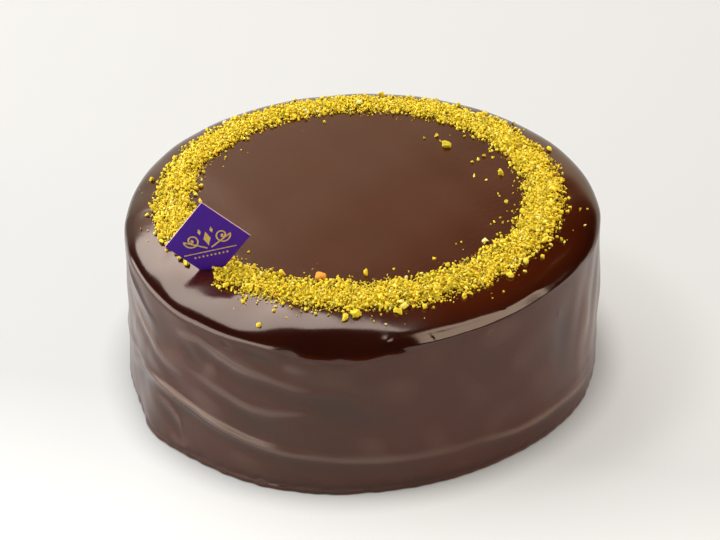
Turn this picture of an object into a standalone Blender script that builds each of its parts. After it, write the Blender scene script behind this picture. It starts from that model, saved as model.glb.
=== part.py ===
"""A round chocolate-glazed cake with a ring of chopped pistachio and a small card standing in it.

Metres, +Z up. The origin is on the table, at the middle of the cake's footprint. The front is -Y.
"""
import math
import random

import bmesh
import bpy
from mathutils import Euler, Matrix, Vector

# The cake: a ring-moulded round, 22 cm across, under a poured glaze.
CAKE_RADIUS = 0.1100          # wall, just below the shoulder
FOOT_RADIUS = 0.1106          # wall at the table, before the swells below
CAKE_HEIGHT = 0.0820
WALL_HEIGHT = 0.0735          # where the wall reaches its upper radius
SHOULDER_WIDTH = 0.0220       # how far in from the wall the top begins to fall away
SHOULDER_DROP = 0.0070        # how far it has fallen where the wall is upright
FOOT_TUCK = 0.0012            # how far the glaze's lower edge rolls in
FOOT_ROLL_HEIGHT = 0.0018
WALL_BOW = 0.7                # below 1, the wall draws in soonest near the table
CAKE_AXIS = (-0.0003, 0.0005)  # the mould's axis, measured from the middle of the uneven footprint

# The layer line: the ledge that the glaze draws over the lowest layer of the cake.
LAYER_LINE_HEIGHT = 0.0162
LEDGE_DEPTH = 0.0003
LEDGE_HALF_HEIGHT = 0.0028

# Swells are (azimuth in degrees, half-width in degrees, amount in metres). Azimuth -90 is the front.
FOOT_SWELLS = ((-146, 8, 0.0041), (-128, 18, 0.0032), (-104, 18, 0.0032), (-56, 12, -0.0008),
               (-28, 12, 0.0007), (70, 40, 0.0010))
LAYER_LINE_SWELLS = ((-152, 36, 0.0155), (60, 50, 0.0030))
WALL_SWELLS = ((-168, 26, -0.0010), (170, 26, -0.0022), (-12, 26, 0.0010), (80, 40, 0.0012))
LEDGE_SWELLS = ((-128, 24, 0.0006),)
DROP_SWELLS = ((-94, 15, 0.0085), (-50, 30, -0.0012), (-130, 24, 0.0050))   # softest at the front

# The pistachio ring: a low rough bank of crumbs, set a little towards the back of the top.
RING_RADIUS = 0.0855
RING_SHIFT_BACK = 0.0065
BANK_HALF_WIDTH = 0.0125
BANK_RISE = 0.0013            # of its middle line above the glaze
BANK_SINK = 0.0006            # of its edges below the glaze, so that they end raggedly
BANK_ROUGHNESS = 0.0010
BANK_UNDERSIDE = 0.0030       # depth of its hidden underside below the glaze
BANK_SEED = 7

# The larger crumbs on the bank and strewn beside it, one by one.
CRUMB_COUNT = 104
CRUMB_RADIUS_LARGEST = 0.0019
CRUMB_RADIUS_SMALLEST = 0.0012
CRUMB_SHRINK = 0.6            # below 1, the sizes fall soonest among the first crumbs
CRUMB_SPREAD = 0.0140
CRUMB_GATHER = 1.3            # above 1, crumbs gather at the ring's middle line
CRUMB_RISE = 0.10             # of its middle above what it lies on, as a share of its radius
CRUMB_STRETCH = (0.8, 1.2)
CRUMB_ROUGHNESS = (0.78, 1.22)
CRUMB_SEED = 22

# The card: a thin square standing on one corner, pushed into the glaze.
CARD_SIDE = 0.0266
CARD_THICKNESS = 0.0009
CARD_CORNER = (-0.0645, -0.0542, 0.0772)   # its buried corner, from the cake's axis
CARD_TURN = math.radians(2.4)              # about +Z
CARD_LEAN = math.radians(-5.9)             # back, away from the front
CARD_ROLL = math.radians(-5.3)             # within its own plane
CARD_GAP = 0.0003                          # air between the card and its slot
CRUMB_CARD_GAP = 0.0008

GLAZE_COLOUR = (0.045, 0.012, 0.006)
PISTACHIO_COLOUR = (0.62, 0.46, 0.07)
CARD_COLOUR = (0.075, 0.016, 0.24)
GLAZE_ROUGHNESS = 0.12
PISTACHIO_ROUGHNESS = 0.75
CARD_ROUGHNESS = 0.40

# Mesh fineness.
WALL_COLUMNS = 88
WALL_SHARES_BELOW_LINE = (0.45, 0.82)
WALL_SHARES_ABOVE_LINE = (0.12, 0.34, 0.58, 0.80, 1.0)
SHOULDER_STEPS = 8
BANK_COLUMNS = 144
BANK_ROWS = 7
SMOOTH_ANGLE = math.radians(40)

GOLDEN_TURN = math.pi * (3 - math.sqrt(5))
EVEN_STEP = 0.7548776662      # spreads a second coordinate evenly beside golden turns


def clear_scene():
    for scene_object in list(bpy.data.objects):
        bpy.data.objects.remove(scene_object, do_unlink=True)


def swell(azimuth, swells):
    """The summed height of soft humps at this azimuth (radians)."""
    total = 0.0
    for centre, half_width, amount in swells:
        away = (math.degrees(azimuth) - centre + 180) % 360 - 180
        total += amount * math.exp(-((away / half_width) ** 2))
    return total


def layer_line_height(azimuth):
    return LAYER_LINE_HEIGHT + swell(azimuth, LAYER_LINE_SWELLS)


def wall_radius(azimuth, height):
    """The wall's radius at a height between the table and the shoulder."""
    foot = FOOT_RADIUS + swell(azimuth, FOOT_SWELLS)
    top = CAKE_RADIUS + swell(azimuth, WALL_SWELLS)
    line = layer_line_height(azimuth)
    ledge = LEDGE_DEPTH + swell(azimuth, LEDGE_SWELLS)
    from_line = (height - line) / LEDGE_HALF_HEIGHT
    radius = foot + (top - foot) * (height / WALL_HEIGHT) ** WALL_BOW
    return radius + ledge * math.exp(-(from_line ** 2))


def shoulder_drop(azimuth):
    return SHOULDER_DROP + swell(azimuth, DROP_SWELLS)


def glaze_height(x, y):
    """The height of the bare glaze on the top and over the shoulder, from the cake's axis."""
    azimuth = math.atan2(y, x)
    drop = shoulder_drop(azimuth)
    flat_edge = wall_radius(azimuth, CAKE_HEIGHT - drop) - SHOULDER_WIDTH
    out = min(max((math.hypot(x, y) - flat_edge) / SHOULDER_WIDTH, 0.0), 1.0)
    return CAKE_HEIGHT - drop + drop * math.sqrt(1 - out ** 2)


def cake_section(azimuth):
    """Radius and height of the glaze's outline at one azimuth, from the table to the top's edge."""
    line = layer_line_height(azimuth)
    drop = shoulder_drop(azimuth)
    wall_end = CAKE_HEIGHT - drop
    heights = [FOOT_ROLL_HEIGHT]
    heights += [line * share for share in WALL_SHARES_BELOW_LINE]
    heights.append(line)
    heights += [line + (wall_end - line) * share for share in WALL_SHARES_ABOVE_LINE]
    section = [(wall_radius(azimuth, 0.0) - FOOT_TUCK, 0.0)]
    section += [(wall_radius(azimuth, height), height) for height in heights]
    flat_edge = section[-1][0] - SHOULDER_WIDTH
    for step in range(1, SHOULDER_STEPS + 1):
        facing = math.radians(90) * step / SHOULDER_STEPS       # evenly, by the way the glaze faces
        angle = math.atan2(drop * math.sin(facing), SHOULDER_WIDTH * math.cos(facing))
        radius = flat_edge + SHOULDER_WIDTH * math.cos(angle)
        section.append((radius, wall_end + drop * math.sin(angle)))
    return section


def from_axis(x, y, height):
    """A point measured from the cake's axis, in the model's frame."""
    return Vector((x + CAKE_AXIS[0], y + CAKE_AXIS[1], height))


def ring_offset(x, y):
    """How far outwards of the ring's middle line a point of the top lies."""
    return math.hypot(x, y - RING_SHIFT_BACK) - RING_RADIUS


def ring_place(azimuth, offset):
    """A point of the top, from the cake's axis: offset is outwards from the ring's middle line."""
    x = (RING_RADIUS + offset) * math.cos(azimuth)
    y = RING_SHIFT_BACK + (RING_RADIUS + offset) * math.sin(azimuth)
    return x, y


def make_material(name, colour, roughness):
    material = bpy.data.materials.new(name)
    material.use_nodes = True
    shader = material.node_tree.nodes["Principled BSDF"]
    shader.inputs["Base Color"].default_value = (*colour, 1.0)
    shader.inputs["Roughness"].default_value = roughness
    shader.inputs["Metallic"].default_value = 0.0
    return material


def link_mesh(name, shape, *materials):
    """Turns a bmesh into a named object."""
    mesh = bpy.data.meshes.new(name)
    shape.to_mesh(mesh)
    shape.free()
    for material in materials:
        mesh.materials.append(material)
    made = bpy.data.objects.new(name, mesh)
    bpy.context.scene.collection.objects.link(made)
    return made


def sweep_round(shape, loops):
    """Joins the corners of each loop to those of the next, right round."""
    for here, onward in zip(loops, loops[1:] + loops[:1]):
        for low, high in zip(range(len(here) - 1), range(1, len(here))):
            shape.faces.new((here[low], onward[low], onward[high], here[high]))


def make_cake_body(*materials):
    """The glazed round: its outline at every azimuth, with a flat underside and a flat top."""
    shape = bmesh.new()
    columns = []
    for column in range(WALL_COLUMNS):
        azimuth = 2 * math.pi * column / WALL_COLUMNS
        along, aside = math.cos(azimuth), math.sin(azimuth)
        section = cake_section(azimuth)
        columns.append([shape.verts.new(from_axis(r * along, r * aside, z)) for r, z in section])
    sweep_round(shape, columns)
    shape.faces.new([column[0] for column in reversed(columns)])
    shape.faces.new([column[-1] for column in columns])
    return link_mesh("cake", shape, *materials)


def bank_loop(azimuth, draw):
    """The closed outline of the bank of fine crumbs at one azimuth, from its outer edge inwards."""
    loop = []
    for row in range(BANK_ROWS + 1):
        across = 1.0 - 2.0 * row / BANK_ROWS
        x, y = ring_place(azimuth, across * BANK_HALF_WIDTH)
        rise = BANK_RISE - (BANK_RISE + BANK_SINK) * across ** 2
        rise += BANK_ROUGHNESS * draw.uniform(-1, 1)
        loop.append(from_axis(x, y, glaze_height(x, y) + rise))
    for across in (-1.0, 1.0):
        x, y = ring_place(azimuth, across * BANK_HALF_WIDTH)
        loop.append(from_axis(x, y, glaze_height(x, y) - BANK_UNDERSIDE))
    return loop


def make_bank(material):
    """The bank of fine crumbs: a closed rough band round the top, its edges sunk in the glaze."""
    draw = random.Random(BANK_SEED)
    shape = bmesh.new()
    loops = []
    for column in range(BANK_COLUMNS):
        azimuth = 2 * math.pi * column / BANK_COLUMNS
        corners = [shape.verts.new(point) for point in bank_loop(azimuth, draw)]
        loops.append(corners + corners[:1])
    sweep_round(shape, loops)
    return link_mesh("bank", shape, material)


def card_matrix():
    """Places the card's own frame: buried corner at the origin, square in the XZ plane."""
    turn = Matrix.Rotation(CARD_TURN, 4, "Z")
    lean = Matrix.Rotation(CARD_LEAN, 4, "X")
    roll = Matrix.Rotation(CARD_ROLL, 4, "Y")
    return Matrix.Translation(from_axis(*CARD_CORNER)) @ turn @ lean @ roll


def make_square(name, side, thickness, material):
    """A thin square on its corner, about the middle of the card."""
    shape = bmesh.new()
    bmesh.ops.create_cube(shape, size=1.0)
    bmesh.ops.scale(shape, vec=(side, thickness, side), verts=shape.verts)
    middle_height = CARD_SIDE * math.sqrt(0.5)
    on_corner = Matrix.Translation((0.0, 0.0, middle_height)) @ Matrix.Rotation(math.radians(45), 4, "Y")
    bmesh.ops.transform(shape, matrix=card_matrix() @ on_corner, verts=shape.verts)
    return link_mesh(name, shape, material)


def clear_of_card(point, radius):
    """True where a crumb of this radius would not touch the card or its slot."""
    local = card_matrix().inverted() @ point
    away = max(abs(local.y) - CARD_THICKNESS / 2, abs(local.x) - CARD_SIDE * math.sqrt(0.5))
    return away > radius * max(CRUMB_ROUGHNESS) + CRUMB_CARD_GAP


def crumb_radius(index):
    share = (index / CRUMB_COUNT) ** CRUMB_SHRINK
    return CRUMB_RADIUS_LARGEST + (CRUMB_RADIUS_SMALLEST - CRUMB_RADIUS_LARGEST) * share


def crumb_place(index):
    """An even scatter: azimuths by golden turns, and an even spread of offsets from the ring's line."""
    even = 2 * (index * EVEN_STEP % 1.0) - 1
    offset = CRUMB_SPREAD * math.copysign(abs(even) ** CRUMB_GATHER, even)
    x, y = ring_place(index * GOLDEN_TURN, offset)
    bank = BANK_RISE * max(0.0, 1.0 - (ring_offset(x, y) / BANK_HALF_WIDTH) ** 2)
    return from_axis(x, y, glaze_height(x, y) + bank + crumb_radius(index) * CRUMB_RISE)


def make_crumb(index, material, draw):
    """One uneven many-sided lump, half sunk, or nothing where it would touch the card."""
    shape = bmesh.new()
    bmesh.ops.create_icosphere(shape, subdivisions=1, radius=crumb_radius(index))
    for corner in shape.verts:
        corner.co *= draw.uniform(*CRUMB_ROUGHNESS)
    turn = Euler([draw.uniform(0, 2 * math.pi) for axis in range(3)]).to_matrix().to_4x4()
    stretch = Matrix.Diagonal([draw.uniform(*CRUMB_STRETCH) for axis in range(3)] + [1.0])
    place = crumb_place(index)
    bmesh.ops.transform(shape, matrix=Matrix.Translation(place) @ turn @ stretch, verts=shape.verts)
    if clear_of_card(place, crumb_radius(index)):
        return link_mesh(f"crumb_{index:03d}", shape, material)
    shape.free()
    return None


def make_topping(material):
    """The collection of closed lumps that together are the pistachio."""
    draw = random.Random(CRUMB_SEED)
    lumps = [make_bank(material)]
    lumps += [make_crumb(index, material, draw) for index in range(CRUMB_COUNT)]
    topping = bpy.data.collections.new("topping")
    bpy.context.scene.collection.children.link(topping)
    for lump in lumps:
        if lump:
            topping.objects.link(lump)
            bpy.context.scene.collection.objects.unlink(lump)
    return topping


def fuse_topping(cake, topping):
    """Joins the bank and every crumb to the cake in one union, then drops the loose lumps."""
    union = cake.modifiers.new("fuse topping", "BOOLEAN")
    union.operation = "UNION"
    union.operand_type = "COLLECTION"
    union.collection = topping
    union.solver = "EXACT"
    union.use_self = True
    union.material_mode = "TRANSFER"
    with bpy.context.temp_override(object=cake, active_object=cake):
        bpy.ops.object.modifier_apply(modifier=union.name)
    for lump in list(topping.objects):
        bpy.data.objects.remove(lump, do_unlink=True)
    bpy.data.collections.remove(topping)


def cut_card_slot(cake, glaze):
    """The slot that the card's corner has pressed into the glaze."""
    cutter = make_square("card slot", CARD_SIDE + 2 * CARD_GAP, CARD_THICKNESS + 2 * CARD_GAP, glaze)
    cutter.hide_render = True
    cutter.display_type = "WIRE"
    slot = cake.modifiers.new("card slot", "BOOLEAN")
    slot.operation = "DIFFERENCE"
    slot.object = cutter
    slot.solver = "EXACT"
    slot.material_mode = "TRANSFER"


def make_cake():
    glaze = make_material("chocolate glaze", GLAZE_COLOUR, GLAZE_ROUGHNESS)
    pistachio = make_material("chopped pistachio", PISTACHIO_COLOUR, PISTACHIO_ROUGHNESS)
    cake = make_cake_body(glaze, pistachio)
    fuse_topping(cake, make_topping(pistachio))
    cut_card_slot(cake, glaze)
    cake.data.shade_smooth()
    cake.data.set_sharp_from_angle(angle=SMOOTH_ANGLE)


def make_card():
    make_square("card", CARD_SIDE, CARD_THICKNESS, make_material("purple card", CARD_COLOUR, CARD_ROUGHNESS))


def main():
    clear_scene()
    make_cake()
    make_card()


main()
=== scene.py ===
"""A round chocolate-glazed cake with a ring of chopped pistachio and a small card, ready for its picture.

Metres, +Z up. The origin is on the table, at the middle of the cake's footprint. The front is -Y.
"""

import math

import bpy
import numpy as np
from mathutils import Matrix, Vector


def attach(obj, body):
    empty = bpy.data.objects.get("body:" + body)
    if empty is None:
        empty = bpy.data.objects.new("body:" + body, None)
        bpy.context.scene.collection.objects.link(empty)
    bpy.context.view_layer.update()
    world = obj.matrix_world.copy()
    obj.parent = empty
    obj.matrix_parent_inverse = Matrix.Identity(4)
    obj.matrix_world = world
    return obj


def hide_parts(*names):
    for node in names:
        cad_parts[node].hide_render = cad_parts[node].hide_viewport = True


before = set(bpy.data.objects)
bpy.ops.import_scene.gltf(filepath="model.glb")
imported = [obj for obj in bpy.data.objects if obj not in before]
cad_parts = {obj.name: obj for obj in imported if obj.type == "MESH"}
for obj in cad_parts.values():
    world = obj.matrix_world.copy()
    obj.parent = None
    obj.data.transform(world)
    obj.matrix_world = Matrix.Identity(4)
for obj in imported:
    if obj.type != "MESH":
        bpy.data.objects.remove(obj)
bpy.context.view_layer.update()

bl_info = {
    "name": "Chocolate cake with pistachio ring",
    "version": (1, 0, 0),
    "blender": (4, 5, 0),
    "location": "3D View > Sidebar > Cake",
    "description": "Glazes a round cake, strews its pistachio ring and stands a card in it",
    "category": "Add Mesh",
}

# The cake's form, as the solid has it: its outline at each azimuth (degrees, -90 is the front).
CAKE_AXIS = (-0.0003, 0.0005)
FOOT_RADIUS = 0.1106
FOOT_TUCK = 0.0012
FOOT_ROLL_HEIGHT = 0.0018
WALL_HEIGHT = 0.0735
WALL_BOW = 0.7
SHOULDER_WIDTH = 0.0220
SHOULDER_DROP = 0.0070
LAYER_LINE_HEIGHT = 0.0162
LEDGE_DEPTH = 0.0003
LEDGE_HALF_HEIGHT = 0.0028

# Soft humps round the cake: (azimuth, half-width in degrees, metres).
FOOT_SWELLS = ((-146, 8, 0.0041), (-128, 18, 0.0032), (-104, 18, 0.0032), (-56, 12, -0.0008),
               (-28, 12, 0.0007), (70, 40, 0.0010))
LAYER_LINE_SWELLS = ((-152, 36, 0.0155), (60, 50, 0.0030))
WALL_SWELLS = ((-168, 26, -0.0010), (170, 26, -0.0022), (-12, 26, 0.0010), (80, 40, 0.0012))
LEDGE_SWELLS = ((-128, 24, 0.0006),)
DROP_SWELLS = ((-94, 15, 0.0085), (-50, 30, -0.0012), (-130, 24, 0.0050))

# In front of the card the shoulder slopes down early, by a share of its drop.
EARLY_SLOPE = 0.55
EARLY_SLOPE_LAG = 1.3                       # the larger, the further out it is lowest
EARLY_SLOPE_STRETCH = (-174, -106, 14, 16)  # from, to, and the degrees it eases in and out over

# Folds that the glaze set in as it ran: the rise, its reach above and below, and a path of
# (azimuth, run, share of the rise). A point's run is how far up the glaze it lies, along the outline,
# with the wall counted upright.
FOLDS = (
    (0.00045, 0.0016, 0.0022,
     ((-174, 0.0150, 0.4), (-166, 0.0199, 1.0), (-158, 0.0250, 1.5), (-152, 0.0292, 1.5),
      (-146, 0.0314, 1.5), (-141, 0.0307, 1.3), (-136, 0.0290, 1.5), (-131, 0.0284, 1.3),
      (-127, 0.0267, 1.5), (-122, 0.0247, 1.4), (-117, 0.0228, 1.3), (-109, 0.0209, 1.1),
      (-100, 0.0198, 0.9), (-93, 0.0186, 0.8), (-86, 0.0180, 0.7), (-78, 0.0174, 0.5),
      (-70, 0.0176, 0.3), (-62, 0.0170, 0.4), (-57, 0.0154, 0.7), (-52, 0.0140, 1.0),
      (-43, 0.0135, 1.1), (-37, 0.0136, 1.1), (-30, 0.0124, 1.1), (-24, 0.0112, 0.8),
      (-12, 0.0095, 0.0))),
    (0.00050, 0.0014, 0.0024,
     ((-136, 0.0480, 0.0), (-128, 0.0461, 0.5), (-122, 0.0430, 0.8), (-119, 0.0409, 1.0),
      (-115, 0.0393, 1.0), (-111, 0.0394, 0.8), (-106, 0.0410, 0.6), (-98, 0.0432, 0.0))),
    (0.00060, 0.0014, 0.0026,
     ((-138, 0.0640, 0.0), (-134, 0.0650, 0.6), (-130, 0.0655, 0.9), (-126, 0.0634, 1.0),
      (-123, 0.0619, 1.0), (-120, 0.0599, 1.0), (-116, 0.0583, 0.9), (-112, 0.0571, 0.8),
      (-109, 0.0557, 0.6), (-105, 0.0542, 0.4), (-96, 0.0520, 0.0))),
    (0.00050, 0.0014, 0.0024,
     ((-162, 0.0560, 0.0), (-155, 0.0540, 0.8), (-148, 0.0500, 1.0), (-141, 0.0450, 0.7),
      (-135, 0.0420, 0.0))),
    (0.00050, 0.0014, 0.0026,
     ((-150, 0.0290, 0.0), (-144, 0.0250, 0.7), (-140, 0.0215, 1.0), (-137, 0.0170, 1.0),
      (-136, 0.0123, 0.0))),
)
# The fold high up at the far left is thick, and painted dark as shade instead of pale.
THICK_FOLD = (
    (0.00080, 0.0012, 0.0050,
     ((-174, 0.0735, 0.0), (-164, 0.0710, 0.6), (-158, 0.0680, 1.0), (-153, 0.0645, 1.0),
      (-149, 0.0620, 0.7), (-145, 0.0595, 0.0))),
)
# Each fold has a hollow under it: its depth for the fold's rise, and for the fold's reach below
# how far down it lies and how wide it is.
TROUGH_DEPTH = 0.65
TROUGH_DISTANCE = 2.1
TROUGH_REACH = 1.3

# Small dents and beads in the glaze: azimuth, run, half-length, half-height, rise, slant in degrees.
DENTS = (
    (-160.0, 0.0420, 0.0030, 0.0090, 0.00030, -25),
    (-150.0, 0.0420, 0.0040, 0.0050, -0.00025, -30),
    (-133.0, 0.0560, 0.0060, 0.0030, -0.00045, -30),
    (-122.0, 0.0680, 0.0030, 0.0015, -0.00060, -30),
    (-114.0, 0.0670, 0.0090, 0.0028, -0.00070, -8),
    (-106.0, 0.0640, 0.0060, 0.0022, 0.00030, -10),
    (-98.0, 0.0480, 0.0110, 0.0050, -0.00050, -12),
    (-92.0, 0.0400, 0.0160, 0.0060, -0.00030, -8),
    (-112.0, 0.0310, 0.0130, 0.0040, -0.00040, -14),
    (-126.0, 0.0560, 0.0040, 0.0080, 0.00040, -35),
    (-84.5, 0.0768, 0.0027, 0.0024, 0.00078, 0),
    (-107.0, 0.0705, 0.0040, 0.0022, -0.00045, 0),
    (-101.0, 0.0698, 0.0050, 0.0014, 0.00040, 0),
    (-95.0, 0.0685, 0.0040, 0.0020, -0.00020, 0),
    (-89.5, 0.0700, 0.0030, 0.0014, 0.00045, 10),
    (-36.0, 0.0450, 0.0080, 0.0200, -0.00060, 5),
    (-24.0, 0.0500, 0.0050, 0.0200, 0.00050, 5),
    (-81.0, 0.0745, 0.0038, 0.0022, -0.00080, 8),
    (-74.0, 0.0770, 0.0004, 0.0016, -0.00025, 20),
    (-67.0, 0.0735, 0.0014, 0.0009, -0.00022, 20),
    (-60.0, 0.0733, 0.0016, 0.0006, 0.00020, 30),
    (-75.0, 0.0578, 0.0020, 0.0016, -0.00018, 10),
    (-55.0, 0.0815, 0.0006, 0.0010, -0.00020, 50),
    (-38.0, 0.0631, 0.0008, 0.0018, 0.00025, 10),
    (-8.0, 0.0420, 0.0220, 0.0140, 0.00080, 0),
)

# From the front round to the right the wall ends in a crisp crease, with a flat bevel above it:
# the crease's height at each azimuth, and the degrees that it eases in and out over.
BEVEL_PATH = ((-84, 0.0752), (-80, 0.0752), (-74, 0.0760), (-64, 0.0768), (-50, 0.0777), (-35, 0.0786),
              (-16, 0.0784))
BEVEL_EASING = (6, 14)
BEVEL_FACING = math.radians(57)
BEVEL_WIDTH = 0.0030
BEVEL_FADE = 0.0065           # length over which the bevel runs out into the top
BEVEL_PUSH = (-0.0006, 0.0009)    # how far in and out the glaze is pushed at the most
CREASE_ROUNDING = 0.00006
CREASE_RIPPLE = 0.00008
CREASE_RIPPLES = 31           # round the whole cake

# Upright ripples at the far right of the wall.
STREAK_MIDDLE = -18
STREAK_HALF_WIDTH = 14
STREAK_RISE = 0.00022
STREAKS = 42                  # round the whole cake
STREAK_WANDER = 4.0           # degrees, to and fro over the height
STREAK_BENDS = 60             # radians for each metre of height
STREAK_FOOT_FADE = 0.03
STREAK_TOP = 0.078
STREAK_TOP_FADE = 0.01

# The rim of beads at the foot with the groove above it, both strongest at the front left.
BEAD_WAVES = 16
BEAD_SEED = 5
BEAD_TURNS = (9, 120)
RIM_RISE = 0.00020
RIM_BEADS = 0.00022
RIM_REACH = 0.0016
GROOVE_DEPTH = 0.00022
GROOVE_HEIGHT = 0.0034
GROOVE_WANDER = 0.0007
GROOVE_REACH = 0.0010
FOOT_STRENGTH = 0.6           # all round, and once more at its strongest:
FOOT_MIDDLE = -125
FOOT_HALF_WIDTH = 45

# The gentle waves of the wall, stronger at the left, and those of the top.
WAVE_RISE = 0.00011
WAVE_COUNT = 20
WAVE_SEED = 3
WAVE_TURNS = (3, 30)
WAVE_BENDS = (60, 330)        # radians for each metre of height
WAVE_MORE_AT_LEFT = 1.6
WAVE_MIDDLE = -150
WAVE_HALF_WIDTH = 34
TOP_WAVE_RISES = (0.00005, 0.00003)
TOP_WAVE_FACING = (80, 90)    # degrees: where they set in and are full

# The glaze's painted shading: 0 is the painted shade on the rounded edge, 1 the painted highlight on the
# crests of the folds.
TOP_TONE = 0.4
HOLLOW_SHADE_TONE = 0.55            # painted shade in the hollows of the wall, darker than the top
WALL_TONE = 0.7
TONE_RELIEF = 0.00042         # a fold that rises this much gets about the palest painted highlight
TONE_WAVES_LEFT_OUT = 0.6     # the share of the gentle waves that doesn't show in the tone
THICK_FOLD_PAINTED_SHADE = 2           # how strongly the thick fold is painted dark, a painted shade
TONE_CALM_AT_RIGHT = 0.75     # the share of it that fades away at the right
TONE_CALM_MIDDLE = -6
TONE_CALM_HALF_WIDTH = 18
# Painted shade at the foot: how much the tone is lowered there, and over what height.
FOOT_PAINTED_SHADE = 0.60
FOOT_PAINTED_SHADE_REACH = 0.0026
SHOULDER_TONE_FACING = (4, 26)    # degrees: the wall's tone gives way to the painted shade of the rounded edge,
TOP_TONE_FACING = (62, 84)        # and that to the top's

FRONT_CROWDING = 0.35         # how much closer than evenly the mesh's columns stand at the front
SHARP_EDGE = math.radians(50)

# The pistachio ring on the top, set a little towards the back.
RING_RADIUS = 0.0855
RING_SHIFT_BACK = 0.0065
RING_HALF_WIDTH = 0.0078      # of its dense part, with these swells:
RING_SWELLS = ((-85, 50, 0.0036), (0, 35, 0.0010))
RING_LIMIT = 0.106            # no crumb is strewn farther from the axis

# The mass of the finest pistachio.
BED_ROWS = 40
BED_COLUMNS = 1080
BED_REACH = 1.15              # for the ring's half-width
BED_EDGE = 0.86               # where it has thinned out, for the ring's half-width
BED_RISE = 0.0006
BED_LUMPS = 0.00040
BED_THINNING = 0.00042        # taken off all over, so that it breaks up in the thin spots
BED_SINK = 0.0012             # the lowest that its upper side goes below the glaze,
BED_DEPTH = 2.2 * BED_SINK    # and where its underside lies
# The bed's tone, set darker than the crumbs': painted shade in the gaps between them.
BED_SHADE_TONE = 0.40
BED_WIDEST = -1.5             # the azimuth (radians) whose half-width sets how wide it is spun
BED_SPUN_TOP = 0.080
BED_SPUN_BOTTOM = 0.076

# The card: its buried corner, from the cake's axis.
CARD_CORNER = (-0.0645, -0.0542, 0.0772)
CARD_PLAY = 0.00008           # how much wider than the card its slot in the glaze is
CARD_SLOT_MIDDLE = 0.0006     # from the corner, both ways
CARD_SLOT_REACH = (0.0066, 0.0014)
# The bare glaze in front of the card's left half: how far right and back of the corner it goes,
# and how steeply its back edge falls off.
BARE_RIGHT = 0.0016
BARE_BACK = 0.0060
BARE_SLOPE = 0.75

# The stage.
LIGHT_HEIGHT = 2.4
FLOOR_GLOW = 0.53             # the table is lit from below, as a pale acrylic one is,
FLOOR_GLOW_IN_FRONT = 0.23    # painted glow: the table gives off light though it is no lamp, and a little more at the front, over this stretch:
FLOOR_GLOW_STRETCH = (-0.06, -0.17)
FLOOR_GLOW_SLANT = 0.3
# The reach of the occlusion that dims the glow round the cake, a painted shadow.
FLOOR_SHADE_REACH = 0.016
DIM_ROOM = (0.030, 0.026, 0.022)
# The pale sweep behind the table: its colour by height, which counts as less at the left.
SWEEP_STOPS = ((0.0, (0.95, 0.85, 0.70)), (0.50, (0.90, 0.72, 0.50)), (0.545, (0.58, 0.37, 0.22)),
               (0.585, (0.12, 0.06, 0.03)), (0.62, (0, 0, 0)))
SWEEP_RISE_TO_LEFT = 0.6
SWEEP_SLANT = 0.3
SWEEP_STRETCH = (0.45, 0.85)  # how far back it sets in and is full
CAMERA_TARGET_HEIGHT = 0.0445


class CakeSizes(bpy.types.PropertyGroup):
    """Sizes of the glazed cake."""

    radius: bpy.props.FloatProperty(
        name="Radius", description="Wall radius just below the shoulder", default=0.1100,
        unit="LENGTH", precision=4)
    height: bpy.props.FloatProperty(
        name="Height", description="Height of the glazed top above the table", default=0.0820,
        unit="LENGTH", precision=4)
    columns: bpy.props.IntProperty(
        name="Columns", description="Mesh columns round the cake", default=640, min=64, max=640)


class PistachioSizes(bpy.types.PropertyGroup):
    """Amounts and sizes of the chopped pistachio."""

    lumps: bpy.props.IntProperty(
        name="Lumps", description="Largest pieces", default=220, min=0, max=600)
    crumbs: bpy.props.IntProperty(
        name="Crumbs", description="Middling pieces, in each of two handfuls", default=2400,
        min=0, max=2490)
    bits: bpy.props.IntProperty(
        name="Bits", description="Small pieces, in each of two handfuls", default=9600, min=0, max=9900)
    grit: bpy.props.IntProperty(
        name="Grit", description="Finest pieces", default=6000, min=0, max=9900)
    seed: bpy.props.IntProperty(name="Seed", description="Seed of the scatter", default=11)


class CardSizes(bpy.types.PropertyGroup):
    """Size and pose of the card."""

    side: bpy.props.FloatProperty(
        name="Side", description="Side of the square card", default=0.0266, unit="LENGTH", precision=4)
    thickness: bpy.props.FloatProperty(
        name="Thickness", description="Thickness of the card", default=0.0009, unit="LENGTH", precision=4)
    turn: bpy.props.FloatProperty(
        name="Turn", description="Turn about the vertical", default=math.radians(2.4), unit="ROTATION")
    lean: bpy.props.FloatProperty(
        name="Lean", description="Lean away from the front", default=math.radians(-5.9), unit="ROTATION")
    roll: bpy.props.FloatProperty(
        name="Roll", description="Roll within its own plane", default=math.radians(-5.3), unit="ROTATION")


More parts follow.
